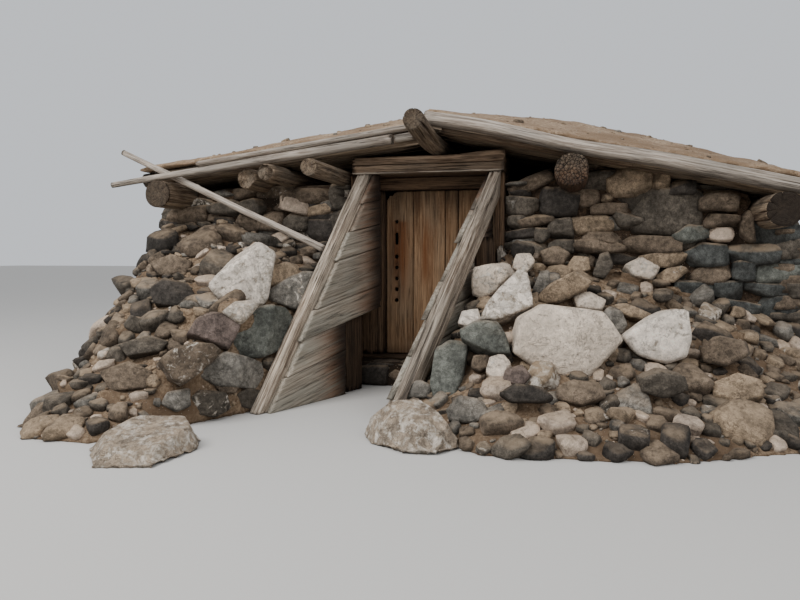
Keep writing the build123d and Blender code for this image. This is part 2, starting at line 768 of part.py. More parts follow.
# Door, hung on the right and opening inwards
DOOR_LOW = SILL + DOOR_GAP
DOOR_HIGH = HEAD_UNDER - DOOR_GAP
BOARD_BACK = DOOR_FACE + DOOR_BOARD
LEDGE_BACK = BOARD_BACK + LEDGE_THICK
STRAP_BACK = LEDGE_BACK + STRAP_THICK
HINGE_X = DOOR_HALF - EYE_INSET
HINGE_Y = LEDGE_BACK + EYE_R


def door_boards():
    """Four upright boards, the first with a row of old holes and a rotten corner."""
    edges = (-DOOR_HALF,) + BOARD_JOINTS + (DOOR_HALF,)
    boards = []
    for left, right in zip(edges, edges[1:]):
        boards.append(box(left, right - BOARD_GAP, DOOR_FACE, BOARD_BACK, DOOR_LOW, DOOR_HIGH))
    boards[-1] = box(edges[-2], DOOR_HALF, DOOR_FACE, BOARD_BACK, DOOR_LOW, DOOR_HIGH)
    heights = [HOLE_TOP_Z] + [HOLE_ROW_Z - HOLE_PITCH * i for i in range(HOLE_COUNT)]
    near = DOOR_FACE - OVERCUT
    far = BOARD_BACK + OVERCUT
    for z in heights:
        boards[0] -= log((HOLE_X, near, z), (HOLE_X, far, z), HOLE_R)
    slot = Pos(HOLE_X, SLOT_Z) * SlotOverall(SLOT_LONG, 2 * HOLE_R, rotation=90)
    boards[0] -= extrude(Plane.XZ.offset(-far) * slot, amount=far - near)
    rotten = [
        (-DOOR_HALF - OVERCUT, DOOR_HIGH - ROT_DEEP),
        (-DOOR_HALF + ROT_WIDE, DOOR_HIGH + OVERCUT),
        (-DOOR_HALF - OVERCUT, DOOR_HIGH + OVERCUT),
    ]
    boards[0] -= slab_along_y(rotten, near, far)
    return boards


def door_ledges():
    """Level battens across the inner face of the door."""
    half = DOOR_HALF - LEDGE_SET_IN
    return [box(-half, half, BOARD_BACK, LEDGE_BACK, z - LEDGE_HIGH / 2, z + LEDGE_HIGH / 2)
            for z in LEDGE_HEIGHTS]


def door_hinge(z):
    """Strap on a ledge with an eye round its pin."""
    half = STRAP_HIGH / 2
    strap = box(HINGE_X - STRAP_LONG, HINGE_X, LEDGE_BACK, STRAP_BACK, z - half, z + half)
    eye = log((HINGE_X, HINGE_Y, z - half), (HINGE_X, HINGE_Y, z + half), EYE_R)
    bore = log((HINGE_X, HINGE_Y, z - STRAP_HIGH), (HINGE_X, HINGE_Y, z + STRAP_HIGH), PIN_R + PIN_GAP)
    return strap + eye - bore


def hinge_pin(z):
    """Pin and bracket on the room side of the right jamb, under one hinge eye."""
    bracket_top = z - STRAP_HIGH / 2 - EYE_LIFT
    bracket_low = bracket_top - BRACKET_HIGH
    pin_top = z + STRAP_HIGH / 2 + PIN_ABOVE
    pin = log((HINGE_X, HINGE_Y, bracket_low), (HINGE_X, HINGE_Y, pin_top), PIN_R)
    arm = box(HINGE_X - PIN_R, JAMB_FACE + BRACKET_LONG, FRAME_BACK, HINGE_Y + PIN_R,
              bracket_low, bracket_top)
    plate = box(JAMB_FACE + DOOR_GAP / 2, JAMB_FACE + BRACKET_LONG, FRAME_BACK, FRAME_BACK + STRAP_THICK,
                bracket_top - BRACKET_PLATE_HIGH, bracket_top)
    return arm + pin + plate


def cellar():
    """Every piece by name; a list holds like pieces that share a name."""
    left = (LEFT_STRING_TOP, LEFT_STRING_FALL)
    right = (RIGHT_STRING_TOP, RIGHT_STRING_FALL)
    beam_middle = HEADER_FRONT + HEADER_DEEP + BOARD_GAP
    beam_split = FRAME_FRONT + FRAME_DEEP / 3
    pieces = {
        "doorway_footing": doorway_footing(),
        "threshold": threshold(),
        "front_wall_left": front_wall_left(),
        "front_wall_right": front_wall_right(),
        "side_wall_left": side_wall_left(),
        "side_wall_right": side_wall_right(),
        "back_wall": back_wall(),
        "back_gable": back_gable(),
        "jamb_left": jamb(-1),
        "jamb_right": jamb(1),
        "door_head": door_head(),
        "front_post_left": front_post(-1),
        "front_post_right": front_post(1),
        "header_lower": header(HEADER_UNDER, HEADER_UNDER + HEADER_LOWER),
        "header_upper": header(HEADER_UNDER + HEADER_LOWER, HEADER_TOP),
        "header_strip": header_strip(),
        "lintel_beam_middle": lintel_beam(beam_middle, beam_split),
        "lintel_beam_inner": lintel_beam(beam_split + BOARD_GAP, FRONT + WALL),
        "ridge_log": ridge_log(),
        "roof_poles_left": roof_poles_left(),
        "roof_poles_right": roof_poles_right(),
        "barge_pole_left": barge_pole_left(),
        "split_pole_left": split_pole_left(),
        "barge_pole_right": barge_pole_right(),
        "barge_slab_right": barge_slab_right(),
        "loose_pole": loose_pole(),
        "earth_left": earth_half(EARTH_LEFT, left_underside, LEFT_COS),
        "earth_right": earth_half(EARTH_RIGHT, right_underside, RIGHT_COS),
        "cheek_string_left": string(LEFT_CHEEK, *left, LEFT_STRING_WIDE, LEFT_STRING_START),
        "cheek_string_right": string(RIGHT_CHEEK, *right, RIGHT_STRING_WIDE, RIGHT_STRING_START),
        "cheek_planks_left": planks(LEFT_CHEEK, *left, LEFT_PLANK_START, LEFT_PLANK_LINES,
                                    LEFT_PLANK_RAGGED, LEFT_BROKEN_FROM, LEFT_BROKEN_START),
        "cheek_planks_right": planks(RIGHT_CHEEK, *right, RIGHT_PLANK_START, RIGHT_PLANK_LINES,
                                     RIGHT_PLANK_RAGGED, RIGHT_LOWEST, RIGHT_LOWEST_START),
        "cheek_post_left": cheek_post(LEFT_CHEEK, *left, LEFT_STRING_WIDE, LEFT_POST),
        "cheek_post_right": cheek_post(RIGHT_CHEEK, *right, RIGHT_STRING_WIDE, RIGHT_POST),
        "rubble_bank_left": bank_left(),
        "rubble_bank_right": bank_right(),
        "toe_boulder_right": toe_boulder_right(),
        "toe_slab_left": toe_slab_left(),
        "door_boards": door_boards(),
        "door_ledges": door_ledges(),
        "door_hinges": [door_hinge(z) for z in HINGED_LEDGES],
        "hinge_pins": [hinge_pin(z) for z in HINGED_LEDGES],
    }
    for name, (x, z, radius, out) in PURLINS.items():
        pieces[name] = purlin(x, z, radius, out)
    return pieces


os.makedirs("parts", exist_ok=True)
for name, shape in cellar().items():
    solids = shape if isinstance(shape, list) else [shape]
    whole = solids[0] if len(solids) == 1 else Compound(children=solids)
    export_step(whole, os.path.join("parts", name + ".step"))
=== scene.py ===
import itertools
import math

import bmesh
import bpy
import numpy as np
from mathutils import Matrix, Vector
from mathutils.bvhtree import BVHTree
from mathutils.geometry import delaunay_2d_cdt


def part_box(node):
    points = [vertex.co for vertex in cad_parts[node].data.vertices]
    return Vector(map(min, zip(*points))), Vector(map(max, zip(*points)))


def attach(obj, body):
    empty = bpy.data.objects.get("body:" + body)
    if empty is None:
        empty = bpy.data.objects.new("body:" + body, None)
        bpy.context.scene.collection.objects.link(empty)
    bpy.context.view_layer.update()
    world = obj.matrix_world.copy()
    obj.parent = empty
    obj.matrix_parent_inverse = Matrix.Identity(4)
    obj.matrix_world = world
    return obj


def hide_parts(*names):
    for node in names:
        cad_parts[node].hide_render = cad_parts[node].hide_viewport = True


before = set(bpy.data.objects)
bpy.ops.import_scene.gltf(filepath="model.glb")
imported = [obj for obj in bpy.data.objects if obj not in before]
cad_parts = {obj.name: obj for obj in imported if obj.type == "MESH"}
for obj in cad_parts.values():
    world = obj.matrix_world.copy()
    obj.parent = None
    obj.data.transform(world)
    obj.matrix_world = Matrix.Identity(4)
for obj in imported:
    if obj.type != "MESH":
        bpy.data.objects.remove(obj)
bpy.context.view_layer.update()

# Camera, set from the photograph
PHOTO_WIDE = 800
PHOTO_HIGH = 600
FOCAL = 700.0
HORIZON = 255.0
EYE = Vector((1.313, -6.250, 1.18))
YAW = math.radians(14.4)
SENSOR = 36.0


def add_camera():
    """Camera at the photograph's viewing angle."""
    data = bpy.data.cameras.new("camera")
    data.sensor_width = SENSOR
    data.lens = SENSOR * FOCAL / PHOTO_WIDE
    camera = bpy.data.objects.new("camera", data)
    camera.location = EYE
    pitch = math.atan((PHOTO_HIGH / 2 - HORIZON) / FOCAL)
    camera.rotation_euler = (math.radians(90) - pitch, 0, YAW)
    bpy.context.scene.collection.objects.link(camera)
    bpy.context.scene.camera = camera
    return camera


CAMERA_TURN = add_camera().rotation_euler.to_matrix()


def ray(u, v):
    """Direction from the eye through a point of the photograph."""
    return CAMERA_TURN @ Vector(((u - PHOTO_WIDE / 2) / FOCAL, (PHOTO_HIGH / 2 - v) / FOCAL, -1))


def on_plane(u, v, point, normal):
    """Where the line through a point of the photograph meets a plane."""
    line = ray(u, v)
    return EYE + line * ((point - EYE).dot(normal) / line.dot(normal))


# Repeatable noise
def lattice(cells, seed):
    """Random numbers from 0 to 1 for whole-number points."""
    mix = (cells[..., 0] * 73856093) ^ (cells[..., 1] * 19349663) ^ (cells[..., 2] * 83492791)
    mix = (mix ^ (seed * 40503)) & 0xffffffff
    mix = ((mix ^ (mix >> 15)) * 2246822519) & 0xffffffff
    mix = ((mix ^ (mix >> 13)) * 3266489917) & 0xffffffff
    return ((mix ^ (mix >> 16)) & 0xffffff) / 0xffffff


def noise(points, size, seed, octaves=3):
    """Smooth noise from -1 to 1 at points; size is the width of its largest features."""
    place = np.asarray(points, float) / np.asarray(size, float)
    total, weight, whole = 0.0, 1.0, 0.0
    for octave in range(octaves):
        cell = np.floor(place).astype(np.int64)
        part = place - cell
        part = part * part * (3 - 2 * part)
        value = 0.0
        for corner in itertools.product((0, 1), repeat=3):
            share = np.prod(np.where(corner, part, 1 - part), axis=-1)
            value = value + share * lattice(cell + np.array(corner), seed + octave)
        total = total + weight * (2 * value - 1)
        whole += weight
        weight *= 0.5
        place = place * 2.03 + 17.0
    return total / whole


# Meshes
class Heap:
    """One mesh made of many closed shells, with values that the materials read."""

    def __init__(self):
        self.points, self.faces, self.values, self.slots = [], [], {}, []
        self.count = 0

    def add(self, points, faces, slot=0, **values):
        """Adds a shell; each value is one number or vector, or one per point."""
        points = np.asarray(points, float)
        self.points.append(points)
        for face in faces:
            self.faces.append(np.asarray(face) + self.count)
            self.slots.append(np.full(len(face), slot))
        for key, value in values.items():
            value = np.asarray(value, float)
            if value.shape in ((), (3,)):
                value = np.broadcast_to(value, (len(points),) + value.shape)
            self.values.setdefault(key, []).append(value)
        self.count += len(points)

    def build(self, name, materials, slot, body="root", replaces=()):
        """Makes the piece, on its body; the slot is not used."""
        mesh = bpy.data.meshes.new(name)
        faces = [face for block in self.faces for face in block.tolist()]
        mesh.from_pydata(np.concatenate(self.points).tolist(), [], faces)
        for key, blocks in self.values.items():
            value = np.concatenate([b.reshape(len(b), -1) for b in blocks])
            kind, field = ("FLOAT_VECTOR", "vector") if value.shape[1] == 3 else ("FLOAT", "value")
            mesh.attributes.new(key, kind, "POINT").data.foreach_set(field, value.ravel())
        for material in materials:
            mesh.materials.append(material)
        mesh.polygons.foreach_set("material_index", np.concatenate(self.slots).astype(np.int32))
        mesh.shade_smooth()
        piece = bpy.data.objects.new(name, mesh)
        bpy.context.scene.collection.objects.link(piece)
        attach(piece, body)
        if replaces:
            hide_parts(*replaces)

    def stand_in(self, node, ending, material, slot, body="root"):
        """Makes the piece that replaces one CAD node."""
        self.build(node + ending, [material], slot, body, (node,))


def colour(red, green, blue):
    """Linear colour from the 0 to 255 values seen on a screen."""
    parts = [c / 255 for c in (red, green, blue)]
    return tuple(c / 12.92 if c <= 0.04045 else ((c + 0.055) / 1.055) ** 2.4 for c in parts)


# Materials
class Wire:
    """Output of a shader node, for sums written like those of numbers."""

    def __init__(self, recipe, socket):
        self.recipe, self.socket = recipe, socket

    def __add__(self, other):
        return self.recipe.maths("ADD", self, other)

    def __sub__(self, other):
        return self.recipe.maths("SUBTRACT", self, other)

    def __mul__(self, other):
        return self.recipe.maths("MULTIPLY", self, other)

    def __truediv__(self, other):
        return self.recipe.maths("DIVIDE", self, other)


class Recipe:
    """Builds one procedural material."""

    def __init__(self, name, roughness):
        self.material = bpy.data.materials.new(name)
        self.material.use_nodes = True
        self.tree = self.material.node_tree
        self.shader = self.tree.nodes["Principled BSDF"]
        self.set_shader("Roughness", roughness)
        self.set_shader("Specular IOR Level", 0.25)

    def set_shader(self, name, value):
        self.feed(self.shader.inputs[name], value)

    def feed(self, socket, value):
        """Links a socket to a wire, or sets its own value."""
        if isinstance(value, Wire):
            self.tree.links.new(value.socket, socket)
        elif isinstance(value, tuple) and len(value) < len(socket.default_value):
            socket.default_value = value + (1.0,)
        else:
            socket.default_value = value

    def node(self, kind, inputs, output=0, **settings):
        """Adds a node, feeds its inputs and gives one of its outputs."""
        node = self.tree.nodes.new("ShaderNode" + kind)
        for name, value in settings.items():
            setattr(node, name, value)
        for key, value in inputs.items():
            self.feed(node.inputs[key], value)
        return Wire(self, node.outputs[output])

    def attribute(self, name, output="Fac"):
        return self.node("Attribute", {}, output, attribute_name=name)

    def place(self):
        return self.node("TexCoord", {}, "Object")

    def part(self, vector, letter):
        return self.node("SeparateXYZ", {0: vector}, letter)

    def vectors(self, operation, a, b):
        return self.node("VectorMath", {0: a, 1: b}, operation=operation)

    def maths(self, operation, a, b=0.0):
        return self.node("Math", {0: a, 1: b}, operation=operation)

    def noise(self, vector, scale, detail, roughness=0.6, bend=0.0, output="Fac"):
        return self.node("TexNoise", {"Vector": vector, "Scale": scale, "Detail": detail,
                                      "Roughness": roughness, "Distortion": bend}, output)

    def drawn(self, vector, along, across, detail, roughness, bend=0.0, offset=(0.0, 0.0, 0.0)):
        """Noise drawn out along the grain."""
        place = self.vectors("MULTIPLY", vector, (along, across, across))
        return self.noise(self.vectors("ADD", place, offset), 1.0, detail, roughness, bend)

    def cells(self, vector, scale, feature="F1"):
        return self.node("TexVoronoi", {"Vector": vector, "Scale": scale}, "Distance", feature=feature)

    def warp(self, vector, scale, amount):
        """The same places, pushed about by noise."""
        push = self.noise(vector, scale, 3.0, 0.5, output="Color")
        return self.vectors("ADD", vector, self.vectors("MULTIPLY", push, (amount,) * 3))

    def window(self, value, low, high):
        """0 below low, 1 above high, smooth between; low may be the larger."""
        turned = low > high
        ends = {"From Min": min(low, high), "From Max": max(low, high),
                "To Min": float(turned), "To Max": float(not turned)}
        return self.node("MapRange", {"Value": value, **ends}, "Result", interpolation_type="SMOOTHSTEP")

    def vein(self, value, width):
        """1 along the lines where a noise passes its middle."""
        return self.window(self.maths("ABSOLUTE", value - 0.5), width, 0.0)

    def blend(self, factor, a, b, mode="MIX"):
        return self.node("Mix", {0: factor, 6: a, 7: b}, 2, data_type="RGBA", blend_type=mode)

    def layers(self, base, *coats):
        """Lays coats of a share and a colour over a colour."""
        for share, tint in coats:
            base = self.blend(share, base, tint)
        return base

    def finish(self, base, height, depth):
        """Sets the colour and the relief, whose full height is depth metres."""
        bump = self.node("Bump", {"Strength": 1.0, "Distance": depth, "Height": height}, "Normal")
        self.set_shader("Base Color", base)
        self.set_shader("Normal", bump)
        return self.material


RING_WIDTH = 0.012
STAIN_AND_SHADE = colour(112, 68, 38)
FLECK = colour(34, 26, 20)
JOINT = colour(18, 13, 9)
ROT_AND_SHADE = colour(24, 17, 12)
GROOVE = colour(30, 22, 17)


def log_end(r, grain, patches, base, dark, patch):
    """Colour and relief of a cut end: rings, and a cracked mosaic where the mesh asks for one."""
    y, z = [r.maths("POWER", r.part(grain, letter), 2.0) for letter in "YZ"]
    radius = r.maths("SQRT", y + z)
    wavy = radius / RING_WIDTH + patches * 5.0
    ring = (r.maths("SINE", wavy * math.tau) + 1.0) * 0.5 * r.window(radius, 0.015, 0.05)
    speck = r.drawn(grain, 60.0, 60.0, 5.0, 0.75)
    tiles = r.cells(r.warp(grain, 28.0, 0.022), 40.0, "DISTANCE_TO_EDGE")
    joints = r.window(tiles, 0.1, 0.0) * r.attribute("mosaic")
    cut = r.layers(base, (ring * 0.5, dark), (r.window(speck, 0.5, 0.62) * 0.4, patch),
                   (r.window(speck, 0.48, 0.36) * 0.5, FLECK), (joints, JOINT))
    return cut, ring * 0.2 + speck - joints


def wood(name, light, dark, patch, relief, coarse=1.0, patch_share=0.5, groove=0.8, hair=0.55):
    """Weathered wood with long grain, drying cracks and cut ends, from three screen colours."""
    r = Recipe(name, 0.9)
    light, dark, patch = colour(*light), colour(*dark), colour(*patch)
    grain = r.attribute("grain", "Vector")
    across = 48 * coarse
    streaks = r.drawn(grain, 1.3, across, 6.0, 0.66, 0.5)
    fibres = r.drawn(grain, 7.0, 4.2 * across, 3.0, 0.65)
    patches = r.drawn(grain, 1.6, 5.0, 5.0, 0.6)
    lines = r.drawn(grain, 0.9, across, 4.0, 0.55, offset=(7.3, 2.1, 5.7))
    hairs = r.drawn(grain, 2.2, 2.6 * across, 3.0, 0.5, offset=(3.1, 9.4, 1.2))
    deep = r.vein(lines, 0.02) * r.window(patches, 0.36, 0.56)
    thin = r.vein(hairs, 0.022) * hair
    base = r.blend(r.window(streaks * 0.62 + fibres * 0.38, 0.39, 0.6), dark, light)
    base = r.layers(base, (r.window(patches, 0.42, 0.66) * patch_share, patch), (thin, dark))
    base = r.blend(1.0, base, r.attribute("tone") * 0.6 + 0.7, "MULTIPLY")
    # Stain over the streaks: real stains and rust, and on purlin_right painted shade.
    base = r.blend(r.attribute("stain") * r.window(streaks, 0.25, 0.6), base, STAIN_AND_SHADE)
    cut, cut_height = log_end(r, grain, patches, base, dark, patch)
    end = r.attribute("end")
    # The dark value darkens towards a near-black: weathering on cut ends and grain lines, and painted shade
    # on undersides and on parts behind others.
    base = r.layers(base, (end, cut), (r.attribute("dark"), ROT_AND_SHADE), (deep * groove, GROOVE))
    height = streaks * 0.9 + fibres * 0.35 - deep * 0.7 - thin * 0.25
    return r.finish(base, r.blend(end, height, cut_height), relief)


CRUST_DARK = colour(150, 136, 118)
CRUST_PALE = colour(222, 212, 198)
DUST_AND_TOP_LIGHT = colour(166, 144, 118)
UNDERSIDE_SHADE = colour(42, 35, 29)
PIT = colour(50, 44, 38)
VEIN = colour(52, 45, 38)


def stone(name):
    """Rough stone, with the colour and the share of pale crust given by its mesh."""
    r = Recipe(name, 0.94)
    place = r.place()
    broad = r.noise(place, 5.5, 6.0, 0.65, 0.4)
    mottle = r.noise(place, 26.0, 7.0, 0.72)
    grit = r.noise(place, 150.0, 4.0, 0.75)
    pits = r.window(r.cells(place, 85.0), 0.04, 0.3)
    veins = r.vein(r.noise(place, 3.5, 5.0, 0.7, 0.4), 0.009)
    value = r.window(broad, 0.34, 0.66) * 0.8 + 0.78
    value = value * (r.window(mottle, 0.36, 0.64) * 0.7 + 0.65)
    value = value * (r.window(grit, 0.36, 0.64) * 0.5 + 0.75)
    value = r.blend(r.attribute("calm"), value, (value - 1.0) * 0.45 + 1.0)
    base = r.blend(1.0, r.attribute("tint", "Color"), value, "MULTIPLY")
    pale = r.window(r.noise(place, 13.0, 7.0, 0.72, 0.8) + r.attribute("crust"), 1.04, 1.12)
    crust = r.blend(r.window(mottle, 0.35, 0.65), CRUST_DARK, CRUST_PALE)
    up = r.part(r.node("NewGeometry", {}, "Normal"), "Z")
    # Tan coat on upward faces: settled dust, and also painted light on the tops.
    dust = r.window(up, 0.35, 0.9) * r.window(broad, 0.3, 0.6) * r.attribute("dust")
    # Downward faces are darkened with painted shade.
    base = r.layers(base, (pale, crust), (dust, DUST_AND_TOP_LIGHT), (r.window(up, 0.1, -0.6) * 0.4, UNDERSIDE_SHADE),
                    (r.window(pits, 0.4, 0.0) * 0.35, PIT), (veins * 0.3, VEIN))
    height = mottle * 0.9 + grit * 0.3 + pits * 0.3 + broad * 1.2 + pale * 0.15 - veins * 0.3
    return r.finish(base, height, 0.018)


PEBBLE = colour(196, 180, 158)
IRON_DARK = colour(46, 32, 26)
IRON_RUST = colour(116, 66, 38)


def soil(name, light, dark):
    """Dry earth with crumbs and small stones, from two screen colours."""
    r = Recipe(name, 0.97)
    light, dark = colour(*light), colour(*dark)
    place = r.place()
    broad = r.noise(place, 2.2, 5.0)
    crumbs = r.noise(place, 38.0, 6.0, 0.72)
    grit = r.cells(place, 46.0)
    base = r.blend(r.window(broad, 0.35, 0.65), dark, light)
    base = r.layers(base, (r.window(crumbs, 0.62, 0.36), dark), (r.window(grit, 0.16, 0.05), PEBBLE))
    return r.finish(base, crumbs + r.window(grit, 0.3, 0.0) * 0.4, 0.02)


def iron():
    """Rusted iron."""
    r = Recipe("iron", 0.8)
    rust = r.noise(r.place(), 60.0, 6.0, 0.7)
    r.set_shader("Metallic", 0.3)
    return r.finish(r.blend(r.window(rust, 0.35, 0.65), IRON_DARK, IRON_RUST), rust, 0.002)


PALE_WOOD = wood("pale_wood", (200, 184, 165), (92, 76, 61), (162, 152, 138), 0.011, groove=0.95)
POLE_WOOD = wood("pole_wood", (184, 172, 158), (118, 104, 91), (150, 143, 133), 0.006, 0.8, 0.6, 0.6, 0.3)
LOG_WOOD = wood("log_wood", (138, 120, 99), (66, 52, 41), (118, 109, 96), 0.007, 0.75)
HEADER_WOOD = wood("header_wood", (158, 133, 109), (78, 61, 48), (130, 115, 98), 0.007, groove=0.7)
FRAME_WOOD = wood("frame_wood", (112, 89, 68), (50, 36, 27), (92, 76, 60), 0.005)
PLANK_WOOD = wood("plank_wood", (176, 165, 149), (122, 111, 96), (152, 149, 137), 0.004, 0.9, 0.6, 0.5, 0.3)
DOOR_WOOD = wood("door_wood", (152, 122, 92), (100, 73, 51), (126, 107, 86), 0.004, 0.9, 0.55, 0.5, 0.4)
WALL_STONE = stone("wall_stone")
RUBBLE_STONE = stone("rubble_stone")
BANK_EARTH = soil("earth", (158, 136, 111), (104, 84, 65))
ROOF_EARTH = soil("roof_earth", (188, 164, 138), (134, 110, 86))
PACKING = soil("wall_packing", (104, 84, 66), (46, 37, 29))
IRON = iron()

# Stone colours
BASALT = colour(84, 77, 68)
DARK = colour(62, 57, 52)
BROWN = colour(102, 89, 75)
TAN = colour(138, 120, 99)
GREY = colour(108, 103, 95)
SLATE = colour(92, 93, 86)
INK = colour(70, 71, 68)
RED = colour(100, 87, 80)
PALE = colour(221, 204, 184)
WHITE = colour(235, 222, 206)
PINK = colour(194, 174, 154)
TOE = colour(140, 126, 110)
WALL_MIX = (BASALT, BASALT, DARK, BROWN, BASALT, DARK, GREY, BROWN)
RUBBLE_MIX = (BASALT, GREY, BROWN, PINK, BROWN, DARK, TAN, BASALT)
GRAVEL_MIX = (BROWN, TAN, GREY, TAN, BROWN, PINK)
CLOD_MIX = (BROWN, TAN, GREY)
CRUMB_MIX = (BROWN, TAN, TAN)


# Rocks
def cube_ball(cuts):
    """Directions spread over a ball as a cube grid, and the faces between them."""
    points, index, faces = [], {}, []
    steps = np.tan(np.linspace(-math.pi / 4, math.pi / 4, cuts + 1))
    for axis, sign in itertools.product(range(3), (-1, 1)):
        rows = []
        for a in range(cuts + 1):
            row = []
            for b in range(cuts + 1):
                spot = np.empty(3)
                spot[axis], spot[(axis + 1) % 3], spot[(axis + 2) % 3] = sign, steps[a], steps[b]
                key = tuple(np.round(spot, 6))
                if key not in index:
                    index[key] = len(points)
                    points.append(spot / np.linalg.norm(spot))
                row.append(index[key])
            rows.append(row)
        for a, b in itertools.product(range(cuts), repeat=2):
            quad = [rows[a][b], rows[a + 1][b], rows[a + 1][b + 1], rows[a][b + 1]]
            faces.append(quad if sign > 0 else quad[::-1])
    return np.array(points), np.array(faces)


BALLS = {cuts: cube_ball(cuts) for cuts in (2, 3, 4, 5, 6, 8, 14, 20)}
LOWEST = 0.004
CALM_FROM = 0.16
CALM_SPAN = 0.3


def rock(heap, centre, axes, size, planes, seed, cuts, edge, rough=0.05, fence=None, **values):
    """Adds a stone bounded by planes: rows of a unit normal and a distance, in its own axes."""
    ball, faces = BALLS[cuts]
    size = np.asarray(size, float)
    aim = ball * size
    aim /= np.linalg.norm(aim, axis=1, keepdims=True)
    planes = np.asarray(planes, float)
    facing = np.clip(aim @ planes[:, :3].T / planes[:, 3], 0, None)
    points = aim * (facing ** edge).sum(axis=1, keepdims=True) ** (-1 / edge)
    span = float(np.sort(size)[1])
    place = points + np.array([seed * 3.7 % 97, seed * 1.3 % 89, 0.0])
    swell = noise(place, span * 1.2, seed, 2) * rough * span
    chips = (0.4 - np.abs(noise(place, span * 0.55, seed + 5, 3))) * rough * 1.3 * span
    layers = noise(place, (span * 1.3, span * 0.16, span * 1.3), seed + 8, 2) * rough * 0.45 * span
    points = points + aim * (swell + chips + layers)[:, None]
    world = points @ np.asarray(axes, float) + np.asarray(centre, float)
    if fence:
        short = np.clip(fence[1] - world @ fence[0], 0, None)
        world = world + fence[0] * short[:, None]
    world[:, 2] = np.maximum(world[:, 2], LOWEST)
    calm = min(max((float(np.mean(values["tint"])) - CALM_FROM) / CALM_SPAN, 0.0), 1.0)
    heap.add(world, [faces], calm=calm, **values)


CORNER_REACH = 1.32
CORNER_CUT = (0.66, 0.97)


def chamfers(rng, size, count):
    """Random planes that take the corners off a box."""
    size = np.asarray(size)
    normals = rng.normal(size=(count, 3)) / size
    normals /= np.linalg.norm(normals, axis=1, keepdims=True)
    reach = np.sqrt(((normals * size) ** 2).sum(axis=1)) * CORNER_REACH
    return np.column_stack([normals, reach * rng.uniform(*CORNER_CUT, count)])


def box_planes(size):
    """The six planes of a box of half sizes."""
    rows = []
    for axis, sign in itertools.product(range(3), (-1, 1)):
        normal = np.zeros(3)
        normal[axis] = sign
        rows.append([*normal, size[axis]])
    return np.array(rows)


def block(heap, centre, axes, size, seed, cuts, tilt, edge, corners=10, lean=0.14, **values):
    """Adds a roughly squared stone of half sizes, turned by tilt in its face."""
    rng = np.random.default_rng(seed)
    along, up, out = np.asarray(axes, float)
    turned = np.array([along * math.cos(tilt) + up * math.sin(tilt),
                       up * math.cos(tilt) - along * math.sin(tilt), out])
    planes = box_planes(size)
    planes[:, :3] += rng.uniform(-lean, lean, (6, 3))
    planes[:, :3] /= np.linalg.norm(planes[:, :3], axis=1, keepdims=True)
    planes = np.vstack([planes, chamfers(rng, size, corners)])
    rock(heap, centre, turned, size, planes, seed, cuts, edge, **values)


def stone_looks(rng, mix):
    """Colour, crust and dust of a stone drawn from a mix of colours; the dust also paints light on upward
    faces.
    """
    tint = np.array(mix[rng.integers(len(mix))]) * rng.uniform(0.75, 1.2)
    crust = max(0.0, rng.normal(0.3, 0.12))
    return {"tint": tint, "crust": crust, "dust": rng.uniform(0.1, 0.8)}


# Wall faces
class Face:
    """Upright wall face: a start, a direction along it and the way it looks out."""

    def __init__(self, start, along, out):
        self.start = np.array(start, float)
        self.along = np.array(along, float)
        self.out = np.array(out, float)
        self.axes = np.array([self.along, [0, 0, 1], self.out])

    def at(self, run, height, out=0.0):
        return self.start + self.along * run + self.out * out + np.array([0, 0, height])


NARROWEST = 0.09
THINNEST = 0.035
BED_WAVE = 0.022
TALL_SHARE = 0.1
TALL = 1.5
OWN_HIGH = (0.86, 1.12)
OWN_DEEP = (0.85, 1.0)
OWN_OUT = (-0.028, 0.02)
OVER_WIDE = 1.03
OVER_HIGH = 1.05


def courses(heap, face, length, top, seed, cuts, stone_high=(0.09, 0.19), stone_wide=(0.16, 0.44),
            keep=None, deep=0.13, set_back=0.0):
    """Lays stones in rough courses over a face, up to a top line given as a function."""
    rng = np.random.default_rng(seed)
    height, number = 0.0, seed * 1000
    highest = max(top(run) for run in np.linspace(0, length, 24))
    while height < highest:
        high = rng.uniform(*stone_high)
        run = 0.0
        while run < length - 0.01:
            wide = rng.uniform(*stone_wide) * (0.7 + high * 2.2)
            if run == 0:
                wide *= rng.uniform(0.5, 1.0)
            if length - run - wide < NARROWEST:
                wide = length - run
            middle = run + wide / 2
            bottom = height + BED_WAVE * noise([[middle, seed, height]], 0.7, seed)[0]
            own = high * rng.uniform(*OWN_HIGH)
            if rng.random() < TALL_SHARE:
                own *= TALL
            own = min(own, top(middle) - bottom)
            centre = (middle, bottom + own / 2)
            number += 1
            if own > THINNEST and (keep is None or keep(*centre)):
                half = (wide / 2 * OVER_WIDE, own / 2 * OVER_HIGH, deep * rng.uniform(*OWN_DEEP))
                out = rng.uniform(*OWN_OUT) - deep - set_back
                block(heap, face.at(*centre, out), face.axes, half, number, cuts,
                      tilt=rng.normal(0, 0.05), edge=rng.uniform(20, 44), **stone_looks(rng, WALL_MIX))
            run += wide
        height += high


def packing(heap, node, inset):
    """Adds a wall's dark inside: the CAD solid with its long faces drawn in."""
    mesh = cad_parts[node].data
    points = np.array([v.co for v in mesh.vertices])
    low, high = extent(points)
    middle, half = (low + high) / 2, (high - low) / 2
    drawn = points.copy()
    drawn[:, :2] = (middle + (points - middle) * (half - inset) / half)[:, :2]
    heap.add(drawn, [[list(p.vertices)] for p in mesh.polygons], slot=1,
             tint=np.full(3, 0.1), crust=0.0, dust=0.0, calm=0.0)


def corner(node, which):
    """Lowest (0) or highest (1) corner of a CAD node."""
    return np.array(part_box(node)[which])


def corners(node):
    return corner(node, 0), corner(node, 1)


def extent(points):
    return points.min(axis=0), points.max(axis=0)


def spread(values):
    """Middle of a row of values, and half of what they spread over."""
    return (values.min() + values.max()) / 2, (values.max() - values.min()) / 2


